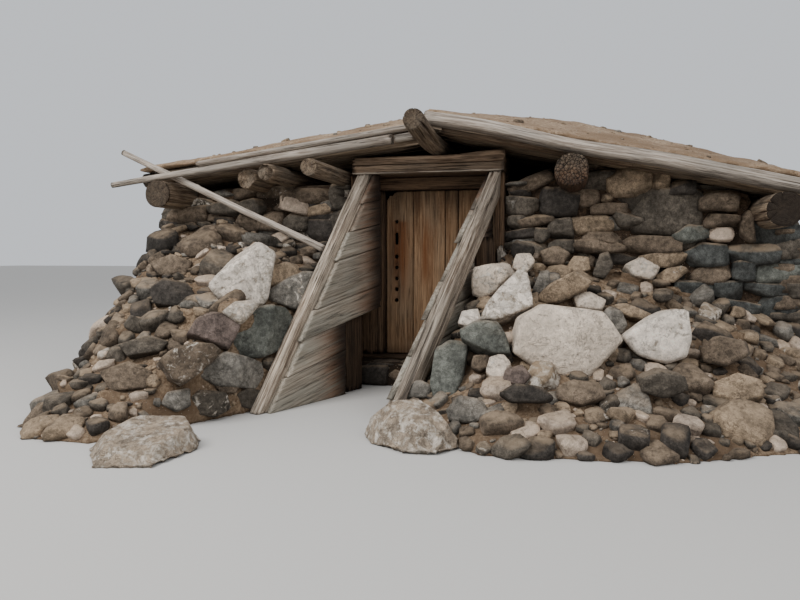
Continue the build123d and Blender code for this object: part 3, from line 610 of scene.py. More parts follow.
FRONT = float(corner("front_wall_left", 0)[1])
BACK = float(corner("back_wall", 1)[1])
WALL = float(corner("front_wall_left", 1)[1] - FRONT)
LEFT_END = float(corner("front_wall_left", 0)[0])
RIGHT_END = float(corner("front_wall_right", 1)[0])
OPEN_LEFT = float(corner("front_wall_left", 1)[0])
OPEN_RIGHT = float(corner("front_wall_right", 0)[0])
FACE_POINT = Vector((0, FRONT, 0))
FACE_NORMAL = Vector((0, -1, 0))
DOWN = Vector((0.0, 0.0, -1.0))


def tree_of(node):
    """Surface of a CAD node, for casting lines at it."""
    return BVHTree.FromObject(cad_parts[node], bpy.context.evaluated_depsgraph_get())


EDGE = 0.002


def top_line(node):
    """Height of a CAD solid's top along the front, from its mesh."""
    tree = tree_of(node)
    low, high = corners(node)
    middle = float((low[1] + high[1]) / 2)

    def top(x):
        x = min(max(x, low[0] + EDGE), high[0] - EDGE)
        hit = tree.ray_cast(Vector((x, middle, high[2] + 1)), DOWN)
        return hit[0].z if hit[0] else 0.0
    return top


# Stones of the front wall that the photograph shows: left, top, right and bottom in its
# pixels, slope in degrees and colour
RIGHT_WALL_STONES = (
    (507, 171, 553, 193, 22, BROWN), (506, 197, 538, 216, 0, BASALT), (539, 188, 578, 218, -6, DARK),
    (574, 188, 600, 208, 14, BROWN), (601, 193, 615, 203, 10, TAN), (590, 202, 626, 215, 4, BROWN),
    (606, 168, 651, 197, -4, TAN), (505, 213, 553, 228, 5, BROWN), (549, 218, 573, 240, 0, BASALT),
    (570, 215, 614, 235, 1, TAN), (612, 211, 641, 231, -16, BASALT), (583, 231, 623, 245, -4, BROWN),
    (534, 227, 549, 242, 0, BASALT), (504, 228, 536, 241, 4, DARK), (549, 240, 574, 254, 0, BASALT),
    (572, 240, 624, 254, 0, BROWN), (504, 241, 549, 256, -3, BASALT), (632, 188, 702, 236, -3, BASALT),
    (651, 172, 670, 191, 0, TAN), (667, 178, 697, 196, 8, DARK), (698, 190, 740, 212, -4, BROWN),
    (703, 213, 740, 228, -2, BROWN), (672, 224, 709, 244, 14, SLATE), (706, 226, 734, 242, 4, PINK),
    (750, 218, 801, 244, 0, INK), (681, 242, 729, 267, 6, INK), (727, 244, 782, 266, 4, INK),
    (783, 247, 806, 258, 0, BROWN), (784, 257, 808, 268, 0, INK), (690, 262, 731, 285, 6, BROWN),
    (731, 263, 756, 281, 0, INK), (757, 262, 803, 284, 0, SLATE), (674, 280, 713, 304, -3, INK),
    (715, 281, 744, 304, 0, INK), (746, 282, 792, 297, -2, INK), (757, 296, 797, 329, -3, INK),
    (722, 302, 760, 320, -4, INK), (741, 212, 752, 240, 0, BROWN), (793, 284, 812, 300, 0, BASALT),
    (797, 300, 820, 325, 0, INK), (624, 236, 680, 256, -4, BROWN), (640, 250, 690, 268, 6, TAN),
)
LEFT_WALL_STONES = (
    (283, 185, 329, 204, -2, BROWN), (328, 183, 345, 198, 0, BASALT), (330, 198, 358, 212, -4, BASALT),
    (279, 196, 306, 214, -12, PINK), (302, 202, 336, 220, 16, TAN), (278, 212, 306, 232, 0, BASALT),
    (305, 220, 332, 244, -8, DARK), (333, 211, 356, 236, 0, BASALT), (256, 212, 280, 230, 0, BROWN),
    (264, 231, 285, 246, 12, PINK), (274, 243, 311, 256, -3, DARK), (275, 253, 303, 264, 2, BROWN),
    (293, 256, 326, 272, -14, BROWN), (307, 240, 334, 256, 0, DARK), (207, 200, 240, 216, -4, BASALT),
    (168, 206, 204, 224, 0, BROWN), (238, 200, 262, 214, 0, BASALT), (146, 204, 168, 230, 0, BASALT),
    (205, 216, 234, 234, 4, DARK), (232, 214, 256, 232, -5, BROWN), (170, 224, 206, 243, 3, BASALT),
)


SHOWN_WIDE = 1.04
SHOWN_HIGH = 1.08
LEAST_HIGH = 0.55
SHOWN_DEEP = 0.12
SHOWN_OUT = (-0.02, 0.035)
COVERED = 0.8


def placed_stones(heap, rows, seed):
    """Lays the stones that the photograph shows on the front face and returns where they are."""
    spots = []
    face = Face(FACE_POINT, (1, 0, 0), FACE_NORMAL)
    for number, (left, top, right, bottom, slope, tint) in enumerate(rows, seed):
        u, v = (left + right) / 2, (top + bottom) / 2
        middle, *sides = [on_plane(a, b, FACE_POINT, FACE_NORMAL)
                          for a, b in ((u, v), (left, v), (right, v), (u, top), (u, bottom))]
        wide, high = sides[1].x - sides[0].x, sides[2].z - sides[3].z
        tilt = math.radians(slope)
        middle.x = min(max(middle.x, LEFT_END + wide / 2), RIGHT_END - wide / 2)
        spare = abs(math.tan(tilt)) * wide * 0.5
        half = (wide / 2 * SHOWN_WIDE, max(high - spare, high * LEAST_HIGH) / 2 * SHOWN_HIGH, SHOWN_DEEP)
        rng = np.random.default_rng(number)
        looks = {"tint": np.array(tint) * rng.uniform(0.85, 1.1), "crust": rng.uniform(0.1, 0.42),
                 "dust": rng.uniform(0.3, 0.9)}
        out = rng.uniform(*SHOWN_OUT) - half[2]
        block(heap, face.at(middle.x, middle.z, out), face.axes, half, number, 8, tilt,
              edge=rng.uniform(24, 50), rough=0.07, **looks)
        spots.append((middle.x, middle.z, half[0], half[1]))
    return spots


def away_from(spots):
    """Test that a place on the front isn't behind a stone already laid."""
    def keep(x, z):
        return all(abs(x - sx) > sw * COVERED or abs(z - sz) > sh * COVERED for sx, sz, sw, sh in spots)
    return keep


INNER = {"stone_high": (0.12, 0.22), "stone_wide": (0.22, 0.5)}
LONG_INSET = np.array([0.03, 0.075, 0.0])
SIDE_INSET = np.array([0.075, 0.0, 0.0])
STEP_INSET = np.array([0.0, 0.05, 0.0])


def build_wall(heap, *nodes):
    """Makes the stones and the packing that replace one wall's solids."""
    heap.build(nodes[0] + "_stones", [WALL_STONE, PACKING], "wall_stone", replaces=nodes)


def front_wall(side, node, rows, x0, x1, seed):
    """One half of the front wall: outer face, inner face and the cheek beside the doorway."""
    heap = Heap()
    packing(heap, node, LONG_INSET)
    clear = away_from(placed_stones(heap, rows, seed))
    top = top_line(node)
    outer = Face((x0, FRONT, 0), (1, 0, 0), (0, -1, 0))
    courses(heap, outer, x1 - x0 + 0.13 * (side > 0), lambda run: top(x0 + run) + 0.015, seed + 1, 6,
            keep=lambda run, z: clear(x0 + run, z), set_back=0.03)
    inner = Face((x1, FRONT + WALL, 0), (-1, 0, 0), (0, 1, 0))
    courses(heap, inner, x1 - x0, lambda run: top(x1 - run), seed + 2, 3, **INNER)
    edge = x1 if side < 0 else x0
    cheek = Face((edge, FRONT, 0), (0, 1, 0), (-side, 0, 0))
    courses(heap, cheek, WALL, lambda run: top(edge), seed + 3, 5, deep=0.1, stone_wide=(0.2, 0.4))
    build_wall(heap, node)


def side_wall(side, node, seed):
    """Side wall: outer face from the front to the back of the cellar, and the inner face."""
    heap = Heap()
    packing(heap, node, SIDE_INSET)
    top = float(corner(node, 1)[2])
    x, y = (LEFT_END, BACK) if side < 0 else (RIGHT_END, FRONT)
    length = BACK - FRONT
    outer = Face((x, y, 0), (0, side, 0), (side, 0, 0))
    courses(heap, outer, length, lambda run: top + 0.01, seed, 4, set_back=-0.04 * (side > 0))
    inner = Face((x - side * WALL, BACK - WALL, 0), (0, -1, 0), (-side, 0, 0))
    courses(heap, inner, length - 2 * WALL, lambda run: top, seed + 1, 2, **INNER)
    build_wall(heap, node)


def back_wall(seed):
    """Back wall and its gable: outer and inner faces."""
    heap = Heap()
    packing(heap, "back_wall", LONG_INSET)
    packing(heap, "back_gable", LONG_INSET)
    gable = top_line("back_gable")
    outer = Face((RIGHT_END, BACK, 0), (-1, 0, 0), (0, 1, 0))
    length = RIGHT_END - LEFT_END
    courses(heap, outer, length, lambda run: gable(RIGHT_END - run), seed, 4)
    inner = Face((LEFT_END + WALL, BACK - WALL, 0), (1, 0, 0), (0, -1, 0))
    courses(heap, inner, length - 2 * WALL, lambda run: gable(LEFT_END + WALL + run), seed + 1, 2, **INNER)
    build_wall(heap, "back_wall", "back_gable")


def footing(node, seed):
    """Stone step under the door."""
    heap = Heap()
    packing(heap, node, STEP_INSET)
    low, high = corners(node)
    for y, out, start in ((FRONT, -1, low[0]), (FRONT + WALL, 1, high[0])):
        face = Face((start, y, 0), (-out, 0, 0), (0, out, 0))
        courses(heap, face, high[0] - low[0], lambda run: float(high[2]), seed + out, 6, deep=0.12)
    build_wall(heap, node)


front_wall(-1, "front_wall_left", LEFT_WALL_STONES, LEFT_END, OPEN_LEFT, 100)
front_wall(1, "front_wall_right", RIGHT_WALL_STONES, OPEN_RIGHT, RIGHT_END, 200)
side_wall(-1, "side_wall_left", 300)
side_wall(1, "side_wall_right", 400)
back_wall(500)
footing("doorway_footing", 600)


# Timber
def unit(vector):
    vector = np.asarray(vector, float)
    return vector / np.linalg.norm(vector)


def window(value, low, high):
    """0 below low, 1 above high and smooth between."""
    part = np.clip((np.asarray(value, float) - low) / (high - low), 0, 1)
    return part * part * (3 - 2 * part)


TURN_POINTS = 1441
CRACK_CLEAR = 1.2
CRACK_SPOTS = (-1.0, -0.35, 0.0, 0.35, 1.0)


def section(power, wide, thick, count, marks=()):
    """Points round a section from round (power 2) to squared, evenly along its edge.

    Extra points stand at the marks, which are shares of the way round."""
    turn = np.linspace(0, 2 * math.pi, TURN_POINTS)
    x = np.sign(np.cos(turn)) * np.abs(np.cos(turn)) ** (2 / power)
    y = np.sign(np.sin(turn)) * np.abs(np.sin(turn)) ** (2 / power)
    way = np.concatenate([[0], np.cumsum(np.hypot(np.diff(x) * wide, np.diff(y) * thick))])
    whole = way[-1]
    spots = list(np.arange(count) / count)
    for mark, width in marks:
        step = width / whole
        spots = [s for s in spots if abs((s - mark + 0.5) % 1 - 0.5) > CRACK_CLEAR * step]
        spots += [(mark + step * k) % 1 for k in CRACK_SPOTS]
    spots = np.sort(np.array(spots))
    return np.interp(spots * whole, way, x), np.interp(spots * whole, way, y), spots, whole


CRACK_FADE = 0.12
RIM_SINK = 0.004
CAP_SHARES = (1.0, 0.97, 0.84, 0.66, 0.46, 0.24)


def grain_start(seed):
    """Where a piece's grain is taken from, so that no two pieces have the same."""
    return np.array([seed * 1.37 % 50, 0.0, 0.0])


def own_tone(seed):
    return lattice(np.array([[seed, 7, 3]]), 5)[0]


def round_gap(spots, share):
    """Distance from a share of the way round, in whole rounds."""
    return np.abs((spots - share + 0.5) % 1 - 0.5)


def crack_reach(run, start, end, length):
    """How open a crack is along a timber: it fades at both its ends, but not past the timber's."""
    opening = window(run, start, start + CRACK_FADE)
    closing = window(-run, -end, -end + CRACK_FADE)
    if start <= 0:
        return np.ones_like(run) if end >= length else closing
    return opening * closing * (opening if end >= length else 1.0)


def end_cap(ring, out, flats, seed, side, jag, dish, notches):
    """Points of a timber's end: rings that shrink to its middle, which comes last."""
    middle = ring.mean(axis=0)
    layers = []
    for share in CAP_SHARES:
        spot = middle + (ring - middle) * share
        sunk = dish * (1 - share) + RIM_SINK * (share == 1.0)
        place = np.column_stack([(spot - middle) @ flats, np.full(len(spot), seed)])
        fray = jag * noise(place, 0.05, seed + 9 + side, 3) - share * notches
        layers.append(spot + out * (fray - sunk)[:, None])
    return np.vstack(layers + [middle[None] + out * (fray.mean() - dish)]), middle


def timber(heap, centres, wides, thicks, seed, power=2.0, around=36, cracks=(), swell=0.003,
           rough=0.001, long=0.5, jag=(0.0, 0.0), dish=0.004, bend=0.0, knots=(), burr=0.0,
           end_dark=0.0, mosaic=0.0, stain=0.0, dark=0.0, tone=None):
    """Adds a log or squared timber through rings with half-width and half-thickness vectors.

    A crack is (share of the way round, width, depth, start, end), a knot (along, share, radius, height).
    Burr is how far the rim of the first end is worn away."""
    centres = np.asarray(centres, float)
    wides = np.broadcast_to(np.asarray(wides, float), centres.shape)
    thicks = np.broadcast_to(np.asarray(thicks, float), centres.shape)
    wide, thick = np.linalg.norm(wides[0]), np.linalg.norm(thicks[0])
    across, over = unit(wides[0]), unit(thicks[0])
    axis = unit(centres[-1] - centres[0])
    x, y, spots, whole = section(power, wide, thick, around, [crack[:2] for crack in cracks])
    run = (centres - centres[0]) @ axis
    length = run[-1]
    if bend:
        sway = noise(np.column_stack([run, run * 0, run * 0 + seed]), 0.9, seed, 2)[:, None]
        dip = noise(np.column_stack([run, run * 0 + seed, run * 0]), 0.7, seed + 1, 2)[:, None]
        hold = np.minimum(1, np.minimum(run, length - run) / 0.2)[:, None]
        centres = centres + bend * hold * (sway * across + dip * over)
    steer = np.abs(x) ** (power - 1) * np.sign(x) / wide
    lean = np.abs(y) ** (power - 1) * np.sign(y) / thick
    outward = (steer[:, None] * across + lean[:, None] * over) / np.hypot(steer, lean)[:, None]
    points = centres[:, None] + wides[:, None] * x[:, None] + thicks[:, None] * y[:, None]
    shape = points.shape[:2]
    own = grain_start(seed) + np.stack([(points - centres[0]) @ axis, np.broadcast_to(x * wide, shape),
                                        np.broadcast_to(y * thick, shape)], axis=-1)
    push = swell * noise(own, (long, 0.09, 0.09), seed, 2)
    push = push + rough * noise(own, (0.22, 0.02, 0.02), seed + 3, 2)
    notches = [0.0, 0.0]
    for share, width, depth, start, end in cracks:
        groove = depth * np.exp(-(round_gap(spots, share) * whole / width) ** 2 * 4)
        push = push - groove * crack_reach(run, start, end, length)[:, None]
        notches = [notches[0] + 0.5 * groove * (start <= 0), notches[1] + 0.5 * groove * (end >= length)]
    for along, share, radius, height in knots:
        near = np.hypot((run - along)[:, None], round_gap(spots, share) * whole)
        push = push + height * np.exp(-(near / radius) ** 2)
    if burr:
        worn = (1.0 + noise(own, (0.06, 0.05, 0.05), seed + 13, 3)) * np.exp(-run / 0.05)[:, None]
        push = push - burr * worn
    points = points + outward * push[..., None]
    index = np.arange(points[..., 0].size).reshape(shape)
    faces, count = [quads(index)], index.size
    all_points, grains = [points.reshape(-1, 3)], [own.reshape(-1, 3)]
    for side, row in ((0, 0), (1, -1)):
        flats = np.column_stack([across, over])
        out = axis * (2 * side - 1)
        cap, middle = end_cap(points[row], out, flats, seed, side, jag[side], dish, notches[side])
        layer = np.arange(count, count + len(cap) - 1).reshape(len(CAP_SHARES), -1)
        count += len(cap)
        fan = np.column_stack([layer[-1], np.roll(layer[-1], -1), np.full(shape[1], count - 1)])
        rim = quads(np.stack([index[row], layer[0]]))
        faces += [face[:, ::2 * side - 1] for face in (quads(layer), rim, fan)]
        all_points.append(cap)
        grains.append(np.column_stack([np.full(len(cap), own[row, 0, 0]), (cap - middle) @ flats]))
    if np.dot(np.cross(across, over), axis) < 0:
        faces = [face[:, ::-1] for face in faces]
    grains = np.concatenate(grains)
    ends = np.where(np.arange(count) < index.size, 0.0, 1.0)
    stain, dark = [value(grains - grain_start(seed)) if callable(value) else value for value in (stain, dark)]
    heap.add(np.concatenate(all_points), faces, grain=grains, end=ends, mosaic=mosaic,
             tone=own_tone(seed) if tone is None else tone, stain=stain,
             dark=np.maximum(dark, end_dark * ends))


def quads(index):
    """Faces between rows of closed rings of point numbers."""
    after = np.roll(index, -1, axis=1)
    return np.stack([index[:-1], after[:-1], after[1:], index[1:]], axis=-1).reshape(-1, 4)


def rail(start, end, step=0.04):
    """Points along a straight line."""
    start, end = np.asarray(start, float), np.asarray(end, float)
    count = max(3, int(np.linalg.norm(end - start) / step) + 1)
    return start + (end - start) * np.linspace(0, 1, count)[:, None]


def parts_of(node):
    """Point clouds of the separate solids of a CAD node, in the order of their lowest points."""
    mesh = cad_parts[node].data
    key_of, points, join = {}, [], []
    names = []
    for vertex in mesh.vertices:
        key = tuple(round(c, 5) for c in vertex.co)
        if key not in key_of:
            key_of[key] = len(points)
            points.append(vertex.co[:])
            join.append(len(join))
        names.append(key_of[key])

    def root(i):
        while join[i] != i:
            join[i] = join[join[i]]
            i = join[i]
        return i

    for polygon in mesh.polygons:
        first = root(names[polygon.vertices[0]])
        for other in polygon.vertices[1:]:
            join[root(names[other])] = first
    groups = {}
    for i, point in enumerate(points):
        groups.setdefault(root(i), []).append(point)
    return [np.array(group) for group in groups.values()]


END_SLICE = 0.03
CRACK_WIDTH = 0.006
CRACK_DEPTH = 0.012


def ends_of(points, axis):
    """Centres of the two ends of a straight round solid."""
    run = points @ axis
    ends = (points[run < run.min() + END_SLICE], points[run > run.max() - END_SLICE])
    return [np.add(*extent(end)) / 2 for end in ends]


def frame_of(axis):
    """Two directions square to an axis, the second as upright as it can be."""
    axis = unit(axis)
    side = unit(np.cross(axis, [0, 0, 1]))
    return side, np.cross(side, axis)


def round_log(heap, path, radius, seed, end_radius=None, **how):
    """Adds a round log or pole along a path."""
    side, up = frame_of(path[-1] - path[0])
    share = np.linspace(0, 1, len(path))
    radii = (radius + ((end_radius or radius) - radius) * share)[:, None]
    timber(heap, path, side * radii, up * radii, seed, **how)


def random_cracks(rng, count, length):
    """Drying cracks along a log at random places; some run out at its ends."""
    cracks = []
    for share in (np.arange(count) + rng.uniform(0.1, 0.9, count)) / count:
        start = rng.uniform(-0.5, length)
        cracks.append((share, CRACK_WIDTH * rng.uniform(0.7, 1.5), CRACK_DEPTH * rng.uniform(0.5, 1.3),
                       start, start + rng.uniform(0.5, 1.6)))
    return cracks


def radial(shares, width, depth, reach):
    """Cracks that open at a log's front end, no two alike."""
    rng = np.random.default_rng(int(1000 * sum(shares)))
    return [(share, width * rng.uniform(0.6, 1.4), depth * rng.uniform(0.3, 1.3), -1.0,
             reach * rng.uniform(0.4, 1.2)) for share in shares]


def underside_shade(strength, low, high):
    """Value that grows towards a log's lower side, between two depths under its middle: painted shade on
    undersides.
    """
    return lambda grains: strength * window(-grains[:, 2], low, high)


X_AXIS, Y_AXIS, UP = np.eye(3)
SHOWN = 0.9


def roof_log(node, seed, splits, around=44, front_jag=0.004, **how):
    """Roof log along the building, from its CAD solid, with cracks in its front end."""
    start, end = ends_of(parts_of(node)[0], Y_AXIS)
    radius = (corner(node, 1)[0] - corner(node, 0)[0]) / 2
    cracks = radial(*splits) + random_cracks(np.random.default_rng(seed), 3, end[1] - start[1])
    shown = start + Y_AXIS * SHOWN
    path = np.vstack([rail(start, shown, 0.03)[:-1], rail(shown, end, 0.25)])
    heap = Heap()
    round_log(heap, path, radius, seed, around=around, cracks=cracks, jag=(front_jag, 0.004), **how)
    heap.stand_in(node, "_timber", LOG_WOOD, "log_wood")


roof_log("purlin_left_inner", 11, ((0.05, 0.34, 0.62), 0.005, 0.012, 0.5), bend=0.004, swell=0.004,
         end_dark=0.15, burr=0.003)
roof_log("purlin_left_middle", 12, ((0.12, 0.7, 0.86), 0.008, 0.022, 0.25), front_jag=0.04,
         swell=0.01, burr=0.012, end_dark=0.2)
roof_log("purlin_left_outer", 13, ((0.2, 0.55, 0.9), 0.008, 0.02, 0.3), front_jag=0.03, swell=0.012,
         burr=0.01, tone=1.0)
roof_log("eave_log_left", 14, ((0.1, 0.33, 0.8), 0.006, 0.014, 0.9), swell=0.006, around=56,
         end_dark=0.6, tone=1.0)
# Painted shade on this log's lower side, as darkening and as a brown stain.
roof_log("purlin_right", 15, ((0.02, 0.11, 0.19, 0.31, 0.38, 0.52, 0.6, 0.71, 0.83, 0.9), 0.006, 0.014, 0.16),
         swell=0.01, around=48, front_jag=0.016, burr=0.005, mosaic=1.0, end_dark=0.1,
         dark=lambda grains: 0.12 + underside_shade(0.5, 0.0, 0.12)(grains), stain=underside_shade(0.6, -0.08, 0.08))
roof_log("eave_log_right", 16, ((0.28, 0.42, 0.52, 0.6), 0.008, 0.016, 0.8), swell=0.006, around=56,
         end_dark=0.9, burr=0.004, tone=1.0)


def ridge(node, seed):
    """Ridge log: level over the walls and bent up in front."""
    low, high = corners(node)
    radius = (high[0] - low[0]) / 2
    x, level, tip = (low[0] + high[0]) / 2, low[2] + radius, high[2] - radius
    bend_y = FRONT - 0.19
    y = np.concatenate([np.linspace(low[1] + 0.008, FRONT, 34)[:-1], np.linspace(FRONT, high[1], 45)])
    away = np.clip((bend_y - y) / (bend_y - low[1]), 0, 1)
    path = np.column_stack([np.full_like(y, x), y, level + (tip - level) * away ** 1.3])
    heap = Heap()
    round_log(heap, path, radius, seed, cracks=radial((0.1, 0.24, 0.45, 0.61, 0.83, 0.93), 0.006, 0.015, 0.6),
              around=48, swell=0.006, jag=(0.01, 0.004), burr=0.005, end_dark=0.3, tone=0.35)
    heap.stand_in(node, "_timber", LOG_WOOD, "log_wood")


ridge("ridge_log", 21)


def roof_poles(node, seed, cut):
    """The round poles side by side under the earth; cut is the end (0 or 1) at the eaves."""
    heap = Heap()
    for number, points in enumerate(sorted(parts_of(node), key=lambda p: p[:, 1].mean()), seed):
        ends = ends_of(points, X_AXIS)
        radius = spread(points[:, 1])[1]
        rng = np.random.default_rng(number)
        draws = rng.uniform(0, 0.09, 2)
        ends[cut] = ends[cut] + X_AXIS * (1 - 2 * cut) * draws[cut]
        round_log(heap, rail(*ends, 0.3), radius * 0.985, number, around=12, swell=0.004,
                  end_radius=radius * rng.uniform(0.86, 0.985), jag=(0.006, 0.006))
    heap.stand_in(node, "_timber", LOG_WOOD, "log_wood")


roof_poles("roof_poles_left", 1100, 0)
roof_poles("roof_poles_right", 1200, 1)


def middle_line(node, first, last, count):
    """Middle and half height of a long CAD solid at places across the front."""
    tree = tree_of(node)
    low, high = corners(node)
    y = (low[1] + high[1]) / 2
    path, halves = [], []
    for x in np.linspace(first, last, count):
        top = tree.ray_cast(Vector((x, y, high[2] + 1)), DOWN)[0].z
        bottom = tree.ray_cast(Vector((x, y, low[2] - 1)), -DOWN)[0].z
        path.append((x, y, (top + bottom) / 2))
        halves.append((top - bottom) / 2)
    return np.array(path), np.array(halves)


STUB_JOINT = -0.19


def front_pole_left(node):
    """Lower front pole on the left: smooth, thicker to the right, with a thin stub past its joint."""
    low, high = corners(node)
    path, halves = middle_line(node, low[0] + 0.006, STUB_JOINT - 0.01, 70)
    stub, thin = middle_line(node, STUB_JOINT + 0.01, high[0] - 0.006, 12)
    side, up = frame_of(path[-1] - path[0])
    heap = Heap()
    # dark paints shade on the pole's underside.
    timber(heap, path, side * halves[:, None], up * halves[:, None], 31, swell=0.004, bend=0.006, tone=0.4,
           cracks=[(0.2, 0.006, 0.012, 0.4, 1.9), (0.45, 0.005, 0.01, 1.2, 2.9),
                   (0.08, 0.005, 0.01, 2.0, 3.4)],
           knots=[(0.8, 0.3, 0.02, 0.006), (1.5, 0.2, 0.02, 0.007), (2.2, 0.4, 0.02, 0.006)],
           dark=underside_shade(0.45, 0.005, 0.035))
    timber(heap, stub, side * thin[:, None], up * thin[:, None], 32, around=28, jag=(0.0, 0.006), tone=0.3)
    heap.stand_in(node, "_timber", POLE_WOOD, "pale_wood")


def front_pole(node, inset, count, seed, flat, material, slot, **how):
    """Long pole across the front, round or with its CAD solid's mean height."""
    low, high = corners(node)
    path, halves = middle_line(node, low[0] + inset, high[0] - inset, count)
    side, up = frame_of(path[-1] - path[0])
    wide = (high[1] - low[1]) / 2
    heap = Heap()
    timber(heap, path, side * wide, up * (halves.mean() if flat else wide), seed, **how)
    heap.stand_in(node, "_timber", material, slot)


LOOSE_RUN = unit((2070.0, -250.0, -893.0))
LOOSE_RADIUS = 0.03


def loose_pole(node, seed):
    """Thin pole that leans on the left rubble, with knots."""
    path = rail(*ends_of(parts_of(node)[0], LOOSE_RUN), 0.03)
    heap = Heap()
    round_log(heap, path, LOOSE_RADIUS * 0.92, seed, end_radius=LOOSE_RADIUS, around=28, bend=0.006, tone=0.7,
              knots=[(0.9, 0.2, 0.014, 0.007), (1.25, 0.4, 0.012, 0.008), (1.75, 0.15, 0.014, 0.008),
                     (0.5, 0.1, 0.012, 0.005)], cracks=[(0.3, 0.004, 0.006, 0.3, 1.5)])
    heap.stand_in(node, "_timber", POLE_WOOD, "pale_wood")


front_pole_left("barge_pole_left")
# Painted shade on this pole's underside, through dark.
front_pole("barge_pole_right", 0.03, 90, 33, False, POLE_WOOD, "pale_wood", around=46, swell=0.006,
           cracks=[(0.33, 0.008, 0.018, -1.0, 1.5), (0.12, 0.007, 0.016, 0.6, 2.7),
                   (0.42, 0.006, 0.012, 1.3, 3.2), (0.22, 0.006, 0.014, -1.0, 0.9),
                   (0.03, 0.005, 0.01, 1.9, 3.2)],
           knots=[(0.55, 0.35, 0.03, 0.008), (1.35, 0.4, 0.025, 0.007), (2.2, 0.3, 0.03, 0.008)],
           jag=(0.02, 0.02), tone=0.62, dark=underside_shade(0.5, 0.012, 0.05))
front_pole("split_pole_left", 0.02, 50, 34, True, POLE_WOOD, "pale_wood", power=2.6, around=34, swell=0.004,
           cracks=[(0.3, 0.006, 0.01, 0.2, 1.1), (0.52, 0.006, 0.014, 0.7, 1.9)], jag=(0.02, 0.01), tone=0.45)
front_pole("barge_slab_right", 0.01, 40, 35, True, HEADER_WOOD, "header_wood", power=6.0, around=40,
           rough=0.002, cracks=[(0.5, 0.006, 0.012, 0.1, 1.2)], jag=(0.01, 0.03))
loose_pole("loose_pole", 36)


# Squared timbers
JOINT_GAP = 0.0015
THICKER = 0.03


def squared(heap, low, high, axis, seed, step=0.05, around=44, **how):
    """Adds a squared timber that fills a box, with its grain along one axis (0, 1 or 2)."""
    middle, half = (low + high) / 2, (high - low) / 2
    sides = np.diag(half - JOINT_GAP)[[a for a in range(3) if a != axis]]
    reach = np.eye(3)[axis] * (half - 2 * JOINT_GAP)
    timber(heap, rail(middle - reach, middle + reach, step), *sides, seed, around=around, dish=0.001,
           **{"power": 9.0, **how})


def beam(node, axis, seed, material=FRAME_WOOD, slot="frame_wood", **how):
    """Squared timber in place of a CAD node that is one box."""
    heap = Heap()
    squared(heap, *corners(node), axis, seed, **how)
    heap.stand_in(node, "_timber", material, slot)


beam("threshold", 0, 41, rough=0.002)
beam("jamb_left", 2, 42, cracks=[(0.8, 0.005, 0.01, 0.2, 1.2)])
beam("jamb_right", 2, 43)
beam("door_head", 0, 44)
beam("front_post_left", 2, 45, cracks=[(0.75, 0.006, 0.014, 0.3, 1.5)])
beam("front_post_right", 2, 46, cracks=[(0.75, 0.006, 0.014, 0.6, 2.0)])
beam("lintel_beam_middle", 0, 47)
beam("lintel_beam_inner", 0, 48)
beam("header_strip", 0, 49, PALE_WOOD, "pale_wood", power=6.0, swell=0.002, around=24)
beam("header_lower", 0, 50, HEADER_WOOD, "header_wood", around=64, rough=0.002, jag=(0.006, 0.012),
     cracks=[(0.66, 0.007, 0.016, -1.0, 0.9), (0.7, 0.005, 0.012, 0.5, 2.0), (0.6, 0.005, 0.01, 0.9, 2.0)])


def header_upper(node, seed):
    """Upper header timber, thicker to the right past the ridge log."""
    low, high = corners(node)
    y = (low[1] + high[1]) / 2
    path = rail((low[0] + 2 * JOINT_GAP, y, 0), (high[0] - 2 * JOINT_GAP, y, 0))
    grow = THICKER * window(path[:, 0], 0.2, 0.6)
    path[:, 2] = (low[2] + high[2] + grow) / 2
    half = (high[2] - low[2] + grow) / 2 - JOINT_GAP
    heap = Heap()
    timber(heap, path, Y_AXIS * ((high[1] - low[1]) / 2 - JOINT_GAP), half[:, None] * UP, seed,
           power=9.0, around=64, dish=0.001, rough=0.002, swell=0.004, jag=(0.01, 0.02),
           cracks=[(0.68, 0.008, 0.02, 0.1, 2.0), (0.62, 0.005, 0.01, -1.0, 0.7)])
    heap.stand_in(node, "_timber", HEADER_WOOD, "header_wood")


header_upper("header_upper", 51)


# Passage cheeks
SKEW = math.radians(20.0)
FORWARD = np.array([-math.sin(SKEW), -math.cos(SKEW), 0.0])
ACROSS = np.array([-math.cos(SKEW), math.sin(SKEW), 0.0])
PLANK_FALL = 0.195
PLANK_SHARE = 0.94
END_CLEAR = 0.003
WORN_BACK = 0.035
WORN_FROM = 0.12


def hull(points):
    """Corners of the smallest outward outline round flat points, going round to the left."""
    points = sorted(set(map(tuple, np.round(points, 5))))
    sides = []
    for row in (points, points[::-1]):
        side = []
        for p in row:
            while len(side) > 1:
                (ax, ay), (bx, by) = side[-2], side[-1]
                if (bx - ax) * (p[1] - ay) - (by - ay) * (p[0] - ax) > 1e-7:
                    break
                side.pop()
            side.append(p)
        sides.append(side[:-1])
    return np.array(sides[0] + sides[1])


def slice_across(outline, level):
    """Least and greatest first coordinate of an outline at one second coordinate."""
    hits = []
    for (ax, ay), (bx, by) in zip(outline, np.roll(outline, -1, axis=0)):
        if (ay - level) * (by - level) <= 0 and ay != by:
            hits.append(ax + (bx - ax) * (level - ay) / (by - ay))
    return min(hits), max(hits)


